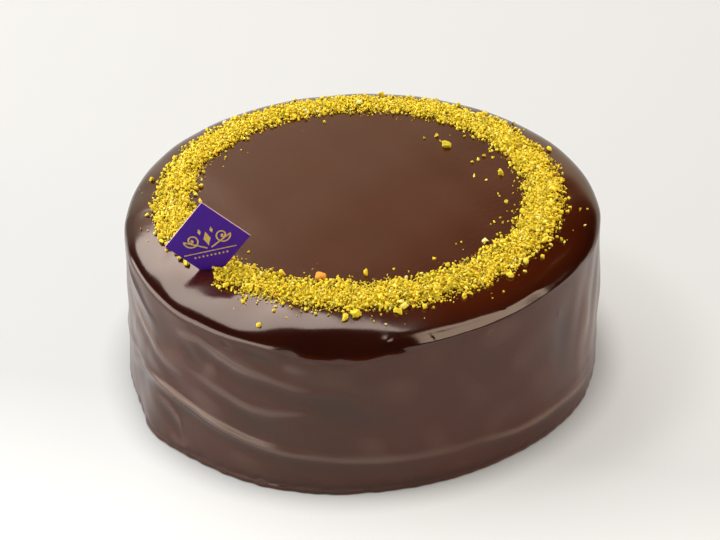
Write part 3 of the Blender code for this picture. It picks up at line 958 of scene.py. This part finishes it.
def model_crumb(fineness, seed):
    """One chopped nut crumb of about unit radius, as corners and triangles: broken flat in places."""
    draw = np.random.default_rng(100 * fineness + seed)
    deselect_all()
    bpy.ops.mesh.primitive_ico_sphere_add(subdivisions=fineness, radius=1.0)
    crumb = bpy.context.object
    corners = read_corners(crumb)
    for cut in range(CRUMB_CUTS):
        way = draw.normal(size=3)
        way /= np.linalg.norm(way)
        depth = draw.uniform(*CRUMB_CUT_DEPTHS)
        beyond = np.clip(corners @ way - depth, 0, None)
        corners -= CRUMB_CUT_FLATNESS * beyond[:, None] * way
    for wave in range(CRUMB_WAVES):
        way = draw.normal(size=3) * draw.uniform(*CRUMB_WAVE_BENDS)
        push = CRUMB_WAVE_RISE * np.sin(2 * corners @ way + draw.uniform(0, 6.3))
        corners *= 1 + push[:, None]
    corners += draw.normal(size=corners.shape) * CRUMB_ROUGHNESS[fineness]
    corners -= corners.mean(axis=0)
    corners /= np.linalg.norm(corners, axis=1).mean()
    faces = np.array([list(face.vertices) for face in crumb.data.polygons])
    bpy.data.objects.remove(crumb, do_unlink=True)
    return corners, faces


def random_turns(draw, count):
    """Random rotation matrices."""
    q = draw.normal(size=(count, 4))
    q /= np.linalg.norm(q, axis=1)[:, None]
    w, x, y, z = q.T
    return np.stack([
        1 - 2 * (y * y + z * z), 2 * (x * y - z * w), 2 * (x * z + y * w),
        2 * (x * y + z * w), 1 - 2 * (x * x + z * z), 2 * (y * z - x * w),
        2 * (x * z - y * w), 2 * (y * z + x * w), 1 - 2 * (x * x + y * y),
    ], axis=1).reshape(count, 3, 3)


def join_copies(name, models, places, radii, tones, draw):
    """One mesh of many turned and stretched copies of a few modelled crumbs, each with its own tone."""
    turns = random_turns(draw, len(places))
    stretch = draw.uniform(*CRUMB_STRETCH, size=(len(places), 3))
    which = draw.integers(0, len(models), len(places))
    corner_sets, face_sets, tone_sets, start = [], [], [], 0
    for index, (corners, faces) in enumerate(models):
        mine = np.flatnonzero(which == index)
        shaped = corners[None] * stretch[mine][:, None, :]
        turned = np.einsum("nij,ncj->nci", turns[mine], shaped)
        placed = turned * radii[mine][:, None, None] + places[mine][:, None, :]
        corner_sets.append(placed.reshape(-1, 3))
        offsets = start + np.arange(len(mine)) * len(corners)
        face_sets.append((faces[None] + offsets[:, None, None]).reshape(-1, 3))
        tone_sets.append(np.repeat(tones[mine], len(corners)))
        start += len(mine) * len(corners)
    mesh = bpy.data.meshes.new(name)
    corners = np.concatenate(corner_sets)
    faces = np.concatenate(face_sets)
    mesh.vertices.add(len(corners))
    mesh.vertices.foreach_set("co", corners.astype(np.float32).ravel())
    mesh.loops.add(faces.size)
    mesh.loops.foreach_set("vertex_index", faces.astype(np.int32).ravel())
    mesh.polygons.add(len(faces))
    mesh.polygons.foreach_set("loop_start", np.arange(0, faces.size, 3, dtype=np.int32))
    mesh.update(calc_edges=True)
    set_attribute(mesh, "tone", np.concatenate(tone_sets))
    piece = bpy.data.objects.new(name, mesh)
    bpy.context.scene.collection.objects.link(piece)
    return piece


# ---------------------------------------------------------------- materials

# The glaze's gloss, from the top to the wall.
GLAZE_ROUGHNESS = (0.135, 0.22)
GLAZE_SPECULAR = (0.50, 0.43)
# Its soft clouds, as factors on its colour, and how much rougher it is in the pale ones.
GLAZE_CLOUDS = ((0.86, 0.84, 0.82), (1.12, 1.14, 1.16))
GLAZE_CLOUDING = 0.03
GLAZE_REFRACTION = 1.6
GLAZE_SHINE_TINT = (1.0, 0.86, 0.77, 1.0)


def new_material(name):
    material = bpy.data.materials.new(name)
    material.use_nodes = True
    return material, material.node_tree, material.node_tree.nodes["Principled BSDF"]


def feed(tree, node, **inputs):
    """Sets inputs of a node, named with _ for spaces: to a value, or by a link from another's socket."""
    for name, value in inputs.items():
        feed_socket(tree, node.inputs[name.replace("_", " ")], value)
    return node


def feed_socket(tree, socket, value):
    if isinstance(value, bpy.types.NodeSocket):
        tree.links.new(value, socket)
    else:
        socket.default_value = value


def add_node(tree, kind, **inputs):
    return feed(tree, tree.nodes.new(kind), **inputs)


def add_maths(tree, operation, *values):
    """The result of a maths node, of numbers and other nodes' sockets."""
    node = tree.nodes.new("ShaderNodeMath")
    node.operation = operation
    for socket, value in zip(node.inputs, values):
        feed_socket(tree, socket, value)
    return node.outputs["Value"]


def map_range(tree, value, start, end, low=0.0, high=1.0):
    """The value taken from start..end to low..high, stopping at both ends."""
    node = add_node(tree, "ShaderNodeMapRange", Value=value, From_Min=start, From_Max=end,
                    To_Min=low, To_Max=high)
    return node.outputs["Result"]


def add_ramp(tree, value, stops):
    """A colour ramp over the value, through stops of (position, colour) in order."""
    node = add_node(tree, "ShaderNodeValToRGB", Fac=value)
    ramp = node.color_ramp
    for element, (position, colour) in zip(ramp.elements, (stops[0], stops[-1])):
        element.position = position
        element.color = (*colour, 1.0)
    for position, colour in stops[1:-1]:
        ramp.elements.new(position).color = (*colour, 1.0)
    return node.outputs["Color"]


def read_attribute(tree, name):
    node = tree.nodes.new("ShaderNodeAttribute")
    node.attribute_name = name
    return node.outputs["Fac"]


def uneven_tone_group():
    """A shader group: a soft mottle between two colours, and a fine height for a bump."""
    name = "uneven tone"
    if name in bpy.data.node_groups:
        return bpy.data.node_groups[name]
    group = bpy.data.node_groups.new(name, "ShaderNodeTree")
    for socket, way, kind in (("Dark", "INPUT", "Color"), ("Light", "INPUT", "Color"),
                              ("Mottle Scale", "INPUT", "Float"), ("Grain Scale", "INPUT", "Float"),
                              ("Colour", "OUTPUT", "Color"), ("Mask", "OUTPUT", "Float"),
                              ("Height", "OUTPUT", "Float")):
        group.interface.new_socket(socket, in_out=way, socket_type="NodeSocket" + kind)
    entry = group.nodes.new("NodeGroupInput")
    leave = group.nodes.new("NodeGroupOutput")
    place = group.nodes.new("ShaderNodeTexCoord").outputs["Object"]
    mottle = add_node(group, "ShaderNodeTexNoise", Vector=place, Scale=entry.outputs["Mottle Scale"],
                      Detail=4.0, Roughness=0.55)
    mask = map_range(group, mottle.outputs["Fac"], 0.30, 0.70)
    mix = group.nodes.new("ShaderNodeMix")
    mix.data_type = "RGBA"
    feed(group, mix, Factor=mask, A=entry.outputs["Dark"], B=entry.outputs["Light"])
    grain = add_node(group, "ShaderNodeTexNoise", Vector=place, Scale=entry.outputs["Grain Scale"],
                     Detail=3.0, Roughness=0.6)
    feed(group, leave, Colour=mix.outputs["Result"], Mask=mask, Height=grain.outputs["Fac"])
    return group


def add_uneven_tone(tree, dark, light, mottle_scale, grain_scale):
    node = tree.nodes.new("ShaderNodeGroup")
    node.node_tree = uneven_tone_group()
    return feed(tree, node, Dark=(*dark, 1.0), Light=(*light, 1.0), Mottle_Scale=mottle_scale,
                Grain_Scale=grain_scale)


def add_bump(tree, height, strength, distance):
    node = add_node(tree, "ShaderNodeBump", Height=height, Strength=strength, Distance=distance)
    return node.outputs["Normal"]


def mottled_material(name, colour, darker, mottle_scale, grain_scale, roughness):
    """A material of one colour, mottled down to a darker share of it; also its shader and its tone."""
    material, tree, shader = new_material(name)
    dark = [channel * darker for channel in colour]
    tone = add_uneven_tone(tree, dark, colour, mottle_scale, grain_scale)
    feed(tree, shader, Base_Color=tone.outputs["Colour"], Roughness=roughness)
    return material, shader, tone


def glaze_material():
    """Poured dark chocolate glaze: glossy, with painted shade on the rounded edge, in the hollows and at
    the foot, and painted highlights on the crests of its folds.
    """
    colours = bpy.context.scene.cake_colours
    material, tree, shader = new_material("chocolate glaze")
    thinness = read_attribute(tree, "thinness")
    colour = add_ramp(tree, thinness, (
        (0.0, colours.glaze_painted_shade), (TOP_TONE, colours.glaze), (HOLLOW_SHADE_TONE, colours.glaze_hollow_shade),
        (WALL_TONE, colours.glaze_wall), (1.0, colours.glaze_crest_highlight)))
    tone = add_uneven_tone(tree, *GLAZE_CLOUDS, mottle_scale=28.0, grain_scale=420.0)
    clouded = tree.nodes.new("ShaderNodeMix")
    clouded.data_type = "RGBA"
    clouded.blend_type = "MULTIPLY"
    feed(tree, clouded, Factor=1.0, A=colour, B=tone.outputs["Colour"])
    gloss = map_range(tree, thinness, TOP_TONE, WALL_TONE, *GLAZE_ROUGHNESS)
    roughness = add_maths(tree, "MULTIPLY_ADD", tone.outputs["Mask"], GLAZE_CLOUDING, gloss)
    dulled = map_range(tree, thinness, TOP_TONE, WALL_TONE, *GLAZE_SPECULAR)
    bump = add_bump(tree, tone.outputs["Height"], strength=0.06, distance=0.0004)
    feed(tree, shader, Base_Color=clouded.outputs["Result"], Roughness=roughness,
         IOR=GLAZE_REFRACTION, Specular_IOR_Level=dulled, Specular_Tint=GLAZE_SHINE_TINT, Normal=bump)
    return material


def nut_material(name, low_tone, high_tone):
    """Chopped pistachio: each crumb takes its colour from its own tone."""
    colours = bpy.context.scene.cake_colours
    material, tree, shader = new_material(name)
    place = tree.nodes.new("ShaderNodeTexCoord").outputs["Object"]
    speckle = add_node(tree, "ShaderNodeTexNoise", Vector=place, Scale=900.0, Detail=3.0).outputs["Fac"]
    shift = map_range(tree, speckle, 0.0, 1.0, low_tone, high_tone)
    tone = add_maths(tree, "ADD", read_attribute(tree, "tone"), shift)
    colour = add_ramp(tree, tone, (
        (0.0, colours.nut_orange), (0.05, colours.nut_brown), (0.16, colours.nut_green),
        (0.42, colours.nut), (0.72, colours.nut), (0.92, colours.nut_pale), (1.0, colours.nut_white)))
    bump = add_bump(tree, speckle, strength=0.5, distance=0.0002)
    feed(tree, shader, Base_Color=colour, Roughness=0.72, Normal=bump)
    return material


def card_material():
    """Purple satin face of the card."""
    material, shader, tone = mottled_material(
        "purple card", bpy.context.scene.cake_colours.card, darker=0.86, mottle_scale=160.0,
        grain_scale=5200.0, roughness=0.50)
    bump = add_bump(material.node_tree, tone.outputs["Height"], strength=0.12, distance=0.00005)
    feed(material.node_tree, shader, Specular_IOR_Level=0.25, Normal=bump)
    return material


def card_edge_material():
    """The card's pale cut edge."""
    return mottled_material(
        "card cut edge", bpy.context.scene.cake_colours.card_edge, darker=0.8, mottle_scale=900.0,
        grain_scale=6000.0, roughness=0.7)[0]


def gold_material():
    """Printed gold ornament."""
    material, shader, tone = mottled_material(
        "gold ornament", bpy.context.scene.cake_colours.gold, darker=0.6, mottle_scale=1500.0,
        grain_scale=6000.0, roughness=0.45)
    feed(material.node_tree, shader, Metallic=0.35)
    return material


def floor_material():
    """The pale table, with a painted glow that is brighter at the front and dimmed near the cake as a
    painted shadow.
    """
    material, shader, tone = mottled_material(
        "pale floor", bpy.context.scene.cake_colours.floor, darker=0.985, mottle_scale=3.0,
        grain_scale=60.0, roughness=0.6)
    tree = material.node_tree
    place = tree.nodes.new("ShaderNodeTexCoord").outputs["Object"]
    parts = add_node(tree, "ShaderNodeSeparateXYZ", Vector=place).outputs
    backward = add_maths(tree, "MULTIPLY_ADD", parts["X"], FLOOR_GLOW_SLANT, parts["Y"])
    glow = map_range(tree, backward, *FLOOR_GLOW_STRETCH, FLOOR_GLOW, FLOOR_GLOW + FLOOR_GLOW_IN_FRONT)
    shade = add_node(tree, "ShaderNodeAmbientOcclusion", Distance=FLOOR_SHADE_REACH).outputs["AO"]
    feed(tree, shader, Emission_Color=(1.0, 0.98, 0.92, 1.0),
         Emission_Strength=add_maths(tree, "MULTIPLY", glow, shade))
    return material


# ---------------------------------------------------------------- operators

def finish_piece(piece, slot, *materials):
    """Gives the piece its materials and lets it ride on the cake; the slot argument is not used."""
    piece.data.materials.clear()
    for material in materials:
        piece.data.materials.append(material)
    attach(piece, "root")


class CAKE_OT_glaze(bpy.types.Operator):
    """Make the glazed cake: spin its outline, then let the glaze run unevenly"""
    bl_idname = "cake.glaze"
    bl_label = "Glazed cake"

    def execute(self, context):
        section = glaze_section()
        glaze = spin_outline("glaze", section, context.scene.cake_sizes.columns)
        shape_glaze(glaze, np.array(section))
        cut_card_slot(glaze)
        context.view_layer.objects.active = glaze
        glaze.select_set(True)
        bpy.ops.object.shade_smooth_by_angle(angle=SHARP_EDGE)
        finish_piece(glaze, "glaze", glaze_material())
        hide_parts("cake")
        return {"FINISHED"}


class CAKE_OT_pistachio_bed(bpy.types.Operator):
    """Lay the mass of the finest pistachio under the crumbs"""
    bl_idname = "cake.pistachio_bed"
    bl_label = "Pistachio bed"

    def execute(self, context):
        reach = BED_REACH * float(ring_half_width(np.array(BED_WIDEST)))
        inner, outer = RING_RADIUS - reach, RING_RADIUS + reach
        section = [(radius, BED_SPUN_TOP) for radius in np.linspace(outer, inner, BED_ROWS)]
        section += [(inner, BED_SPUN_BOTTOM), (outer, BED_SPUN_BOTTOM), section[0]]
        bed = spin_outline("pistachio_bed", section, BED_COLUMNS)
        corners = read_corners(bed)
        upper = corners[:, 2] > (BED_SPUN_TOP + BED_SPUN_BOTTOM) / 2
        corners[:, 1] += RING_SHIFT_BACK
        x, y = corners[:, 0], corners[:, 1]
        corners[:, 2] = glaze_height(x, y) + np.where(upper, bed_height(x, y), -BED_DEPTH)
        write_corners(bed, corners + np.array([*CAKE_AXIS, 0.0]))
        # The real mass of fine pistachio, in a darker tone as painted shade between the crumbs.
        set_attribute(bed.data, "tone", np.full(len(corners), BED_SHADE_TONE))
        finish_piece(bed, "pistachio", nut_material("pistachio mass", -0.38, -0.06))
        return {"FINISHED"}


class CAKE_OT_pistachio(bpy.types.Operator):
    """Strew the chopped pistachio in a ring on the glaze"""
    bl_idname = "cake.pistachio"
    bl_label = "Pistachio ring"

    def execute(self, context):
        sizes = context.scene.pistachio_sizes
        draw = np.random.default_rng(sizes.seed)
        clusters = cluster_places(draw)
        places, radii, kind_of = [], [], []
        for index, (name, amount, small, large, lean, fineness) in enumerate(CRUMB_KINDS):
            count = getattr(sizes, amount)
            places.append(strew(draw, count, clusters))
            radii.append(small + (large - small) * draw.uniform(size=count) ** lean)
            kind_of.append(np.full(count, index))
        lone = np.array(LONE_CRUMBS + FRONT_CRUMBS)
        places = np.concatenate(places + [lone[:, :2]])
        radii = np.concatenate(radii + [lone[:, 2]])
        kind_of = np.concatenate(kind_of + [np.zeros(len(lone))])
        tones = np.clip(TONE_MIDDLE + TONE_SPREAD * draw.normal(size=len(radii)), *TONE_LIMITS)
        browned = draw.uniform(size=len(radii)) < BROWNED_SHARE
        tones = np.where(browned, draw.uniform(*BROWNED_TONES, len(radii)), tones)
        tones[-len(lone):] = lone[:, 3]
        middles, kept = drop_crumbs(draw, places, radii, len(lone))
        points = np.column_stack([places + np.array(CAKE_AXIS), middles])
        material = nut_material("chopped pistachio", -0.10, 0.10)
        for index, (name, amount, small, large, lean, fineness) in enumerate(CRUMB_KINDS):
            mine = (kind_of == index) & kept
            models = [model_crumb(fineness, seed) for seed in range(CRUMB_MODELS)]
            piece = join_copies(name, models, points[mine], radii[mine], tones[mine], draw)
            finish_piece(piece, "pistachio", material)
        return {"FINISHED"}


class CAKE_OT_card(bpy.types.Operator):
    """Stand the card on its corner in the glaze"""
    bl_idname = "cake.card"
    bl_label = "Card"

    def execute(self, context):
        card_sizes = context.scene.card_sizes
        card = name_piece(add_card_block(card_sizes.side, card_sizes.thickness), "card_face")
        finish_piece(card, "card", card_material(), card_edge_material())
        facing = (card_matrix().to_3x3() @ Vector((0, 1, 0))).normalized()
        for face in card.data.polygons:
            face.material_index = 0 if abs(face.normal.dot(facing)) > 0.9 else 1
        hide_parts("card")
        return {"FINISHED"}


# The card's generic ornament, in its own plane about its middle: widths and places in metres.
ORNAMENT_RISE = 0.00005
ORNAMENT_TURN = math.radians(-5)
VOLUTE_START = math.radians(200)
VOLUTE_TURNS = 1.45
VOLUTE_STEPS = 60
VOLUTE_REACH = 0.0037
VOLUTE_CORE = 0.12            # its smallest reach, for the largest
VOLUTE_PLACE = (0.0068, 0.0016)
VOLUTE_LINE = 0.00034
STEM_STEPS = 14
STEM_END = (0.0009, -0.0032)
RULE_REACH = 0.0118
RULE_HEIGHT = -0.0048
RULE_LINE = 0.00024
DOTS_EACH_SIDE = 4
DOT_SPACING = 0.0018
DOT_HEIGHT = -0.0068
# Lozenges: half-width and half-height.
DOT = (0.00055, 0.00055)
EYE = (0.00075, 0.00075)
LOZENGE = (0.0016, 0.0034)
LOZENGE_HEIGHT = 0.0014
BUD = (0.00075, 0.0015)
BUD_PLACE = (0.0027, 0.0052)


def draw_line(name, points, thickness):
    """A round line through points of the card's plane, as a mesh, flattened to a print's rise."""
    data = bpy.data.curves.new(name, "CURVE")
    data.dimensions = "3D"
    data.bevel_depth = thickness
    data.bevel_resolution = 2
    data.use_fill_caps = True
    line = data.splines.new("POLY")
    line.points.add(len(points) - 1)
    for point, (x, z) in zip(line.points, points):
        point.co = (x, 0.0, z, 1.0)
    piece = bpy.data.objects.new(name, data)
    bpy.context.scene.collection.objects.link(piece)
    deselect_all()
    piece.select_set(True)
    bpy.context.view_layer.objects.active = piece
    bpy.ops.object.convert(target="MESH")
    piece = bpy.context.object
    piece.scale = (1.0, ORNAMENT_RISE / thickness, 1.0)
    bpy.ops.object.transform_apply(location=False, rotation=False, scale=True)
    return piece


def volute_points(side):
    """A spiral that unwinds into a stem towards the middle; side is -1 or 1."""
    shares = np.arange(VOLUTE_STEPS + 1) / VOLUTE_STEPS
    angles = VOLUTE_START + shares * VOLUTE_TURNS * 2 * math.pi
    reaches = VOLUTE_REACH * (VOLUTE_CORE + (1 - VOLUTE_CORE) * shares)
    x = VOLUTE_PLACE[0] + reaches * np.cos(angles)
    z = VOLUTE_PLACE[1] + reaches * np.sin(angles)
    onward = np.arange(1, STEM_STEPS + 1) / STEM_STEPS
    x = np.append(x, x[-1] * (1 - onward) + STEM_END[0] * onward)
    z = np.append(z, z[-1] * (1 - onward) + STEM_END[1] * onward)
    return list(zip(side * x, z))


def add_lozenge(half_size, x, z):
    """A flat lozenge of the card's plane."""
    deselect_all()
    bpy.ops.mesh.primitive_cylinder_add(vertices=4, radius=1.0, depth=2.0)
    dot = bpy.context.object
    dot.rotation_euler = (math.radians(90), 0.0, 0.0)
    bpy.ops.object.transform_apply(location=False, rotation=True, scale=False)
    dot.scale = (half_size[0], ORNAMENT_RISE, half_size[1])
    dot.location = (x, 0.0, z)
    bpy.ops.object.transform_apply(location=True, rotation=False, scale=True)
    return dot


class CAKE_OT_card_ornament(bpy.types.Operator):
    """Print the gold ornament on the card: two volutes, a lozenge, a rule and dots"""
    bl_idname = "cake.card_ornament"
    bl_label = "Card ornament"

    def execute(self, context):
        sizes = context.scene.card_sizes
        parts = [draw_line("volute", volute_points(side), VOLUTE_LINE) for side in (-1, 1)]
        rule = [(x, RULE_HEIGHT) for x in (-RULE_REACH, 0.0, RULE_REACH)]
        parts.append(draw_line("rule", rule, RULE_LINE))
        parts.append(add_lozenge(LOZENGE, 0.0, LOZENGE_HEIGHT))
        for place in range(-DOTS_EACH_SIDE, DOTS_EACH_SIDE + 1):
            parts.append(add_lozenge(DOT, place * DOT_SPACING, DOT_HEIGHT))
        for side in (-1, 1):
            parts.append(add_lozenge(BUD, side * BUD_PLACE[0], BUD_PLACE[1]))
            parts.append(add_lozenge(EYE, side * VOLUTE_PLACE[0], VOLUTE_PLACE[1]))
        deselect_all()
        for part in parts:
            part.select_set(True)
        context.view_layer.objects.active = parts[0]
        bpy.ops.object.join()
        ornament = name_piece(context.object, "card_ornament")
        middle = Matrix.Translation((0.0, -sizes.thickness / 2, sizes.side * math.sqrt(0.5)))
        ornament.matrix_world = card_matrix() @ middle @ Matrix.Rotation(ORNAMENT_TURN, 4, "Y")
        bpy.ops.object.transform_apply(location=True, rotation=True, scale=True)
        finish_piece(ornament, "card", gold_material())
        return {"FINISHED"}


class CAKE_OT_stage(bpy.types.Operator):
    """Set the pale floor, the soft lights and the camera"""
    bl_idname = "cake.stage"
    bl_label = "Stage"

    def execute(self, context):
        deselect_all()
        bpy.ops.mesh.primitive_plane_add(size=8.0, location=(0, 0, 0))
        floor = name_piece(context.object, "floor")
        bpy.ops.object.transform_apply(location=True, rotation=True, scale=True)
        floor.data.materials.append(floor_material())
        stage = context.scene.stage_settings
        lamps = {name: add_softbox(name, *rest) for name, *rest in (
            ("softbox", (1.98, 3.40), (-1.14, 1.79, LIGHT_HEIGHT), (0, 0, 9), stage.softbox,
             (1.0, 0.95, 0.90)),
            ("strip light", (2.50, 0.60), (1.38, 0.21, LIGHT_HEIGHT), (0, 0, 41), stage.strip,
             (1.0, 0.86, 0.71)),
            ("key light", (0.70, 0.70), (-1.50, 0.0, LIGHT_HEIGHT), (0, 0, 0), stage.key,
             (1.0, 0.985, 0.96)),
            ("left panel", (4.40, 0.93), (-2.17, -0.38, 0.465), (90, 0, -80), stage.panel,
             (1.0, 0.93, 0.87)),
            ("right panel", (2.00, 1.00), (2.30, 0.30, 0.50), (90, 0, 97), stage.side_panel,
             (1.0, 0.84, 0.66)),
            ("fill light", (1.20, 0.60), (2.40, -0.60, 0.55), (78, 0, 76), stage.fill,
             (1.0, 0.70, 0.40)),
        )}
        lamps["strip light"].visible_diffuse = False
        lamps["key light"].visible_glossy = False
        lamps["fill light"].visible_glossy = False
        light_world(context.scene)
        place_camera(context.scene)
        context.scene.view_settings.view_transform = "Standard"
        return {"FINISHED"}


def add_softbox(name, size, place, turn, radiance, colour):
    """A rectangular light of this radiance; it shines straight down until turned (degrees)."""
    light = bpy.data.lights.new(name, "AREA")
    light.shape = "RECTANGLE"
    light.size, light.size_y = size
    light.energy = radiance * math.pi * light.size * light.size_y
    light.color = colour
    lamp = bpy.data.objects.new(name, light)
    lamp.location = place
    lamp.rotation_euler = [math.radians(angle) for angle in turn]
    bpy.context.scene.collection.objects.link(lamp)
    return lamp


def light_world(scene):
    """Soft surroundings: a pale sweep behind and at the left, a dim room in front and above."""
    world = bpy.data.worlds.new("studio")
    world.use_nodes = True
    tree = world.node_tree
    way = tree.nodes.new("ShaderNodeTexCoord").outputs["Generated"]
    parts = add_node(tree, "ShaderNodeSeparateXYZ", Vector=way).outputs
    backward = add_maths(tree, "MULTIPLY_ADD", parts["X"], SWEEP_SLANT, parts["Y"])
    level = add_maths(tree, "MULTIPLY_ADD", parts["X"], SWEEP_RISE_TO_LEFT, parts["Z"])
    room = tree.nodes.new("ShaderNodeMix")
    room.data_type = "RGBA"
    feed(tree, room, Factor=map_range(tree, backward, *SWEEP_STRETCH), A=(*DIM_ROOM, 1.0),
         B=add_ramp(tree, level, SWEEP_STOPS))
    feed(tree, tree.nodes["Background"], Color=room.outputs["Result"])
    scene.world = world


def place_camera(scene):
    """The camera at the picture's angle, looking at the middle of the cake."""
    stage = scene.stage_settings
    target = Vector((*CAKE_AXIS, CAMERA_TARGET_HEIGHT))
    back = Vector((0.0, -math.cos(stage.elevation), math.sin(stage.elevation)))
    right = Vector((1.0, 0.0, 0.0))
    up = back.cross(right)
    turned_right = right * math.cos(stage.tilt) + up * math.sin(stage.tilt)
    turned_up = up * math.cos(stage.tilt) - right * math.sin(stage.tilt)
    data = bpy.data.cameras.new("camera")
    data.sensor_width = 36.0
    data.lens = stage.lens
    data.clip_start = 0.05
    data.clip_end = 20.0
    camera = bpy.data.objects.new("camera", data)
    turn = Matrix((turned_right, turned_up, back)).transposed().to_4x4()
    camera.matrix_world = Matrix.Translation(target + back * stage.distance) @ turn
    scene.collection.objects.link(camera)
    scene.camera = camera


class CAKE_PT_panel(bpy.types.Panel):
    """Lists the cake's parts in the sidebar"""
    bl_idname = "CAKE_PT_panel"
    bl_label = "Chocolate cake"
    bl_space_type = "VIEW_3D"
    bl_region_type = "UI"
    bl_category = "Cake"

    def draw(self, context):
        scene = context.scene
        for group in (scene.cake_sizes, scene.pistachio_sizes, scene.card_sizes, scene.cake_colours,
                      scene.stage_settings):
            box = self.layout.box()
            for name in group.__annotations__:
                box.prop(group, name)
        for operator in OPERATORS:
            self.layout.operator(operator.bl_idname)


GROUPS = {"cake_sizes": CakeSizes, "pistachio_sizes": PistachioSizes, "card_sizes": CardSizes,
          "cake_colours": CakeColours, "stage_settings": StageSettings}
OPERATORS = (CAKE_OT_glaze, CAKE_OT_pistachio_bed, CAKE_OT_pistachio, CAKE_OT_card, CAKE_OT_card_ornament,
             CAKE_OT_stage)


def register():
    for name, group in GROUPS.items():
        bpy.utils.register_class(group)
        setattr(bpy.types.Scene, name, bpy.props.PointerProperty(type=group))
    for item in (*OPERATORS, CAKE_PT_panel):
        bpy.utils.register_class(item)


def unregister():
    for item in (CAKE_PT_panel, *reversed(OPERATORS)):
        bpy.utils.unregister_class(item)
    for name, group in reversed(GROUPS.items()):
        delattr(bpy.types.Scene, name)
        bpy.utils.unregister_class(group)


def main():
    register()
    bpy.ops.cake.glaze()
    bpy.ops.cake.pistachio_bed()
    bpy.ops.cake.pistachio()
    bpy.ops.cake.card()
    bpy.ops.cake.card_ornament()
    bpy.ops.cake.stage()


if __name__ == "__main__":
    main()
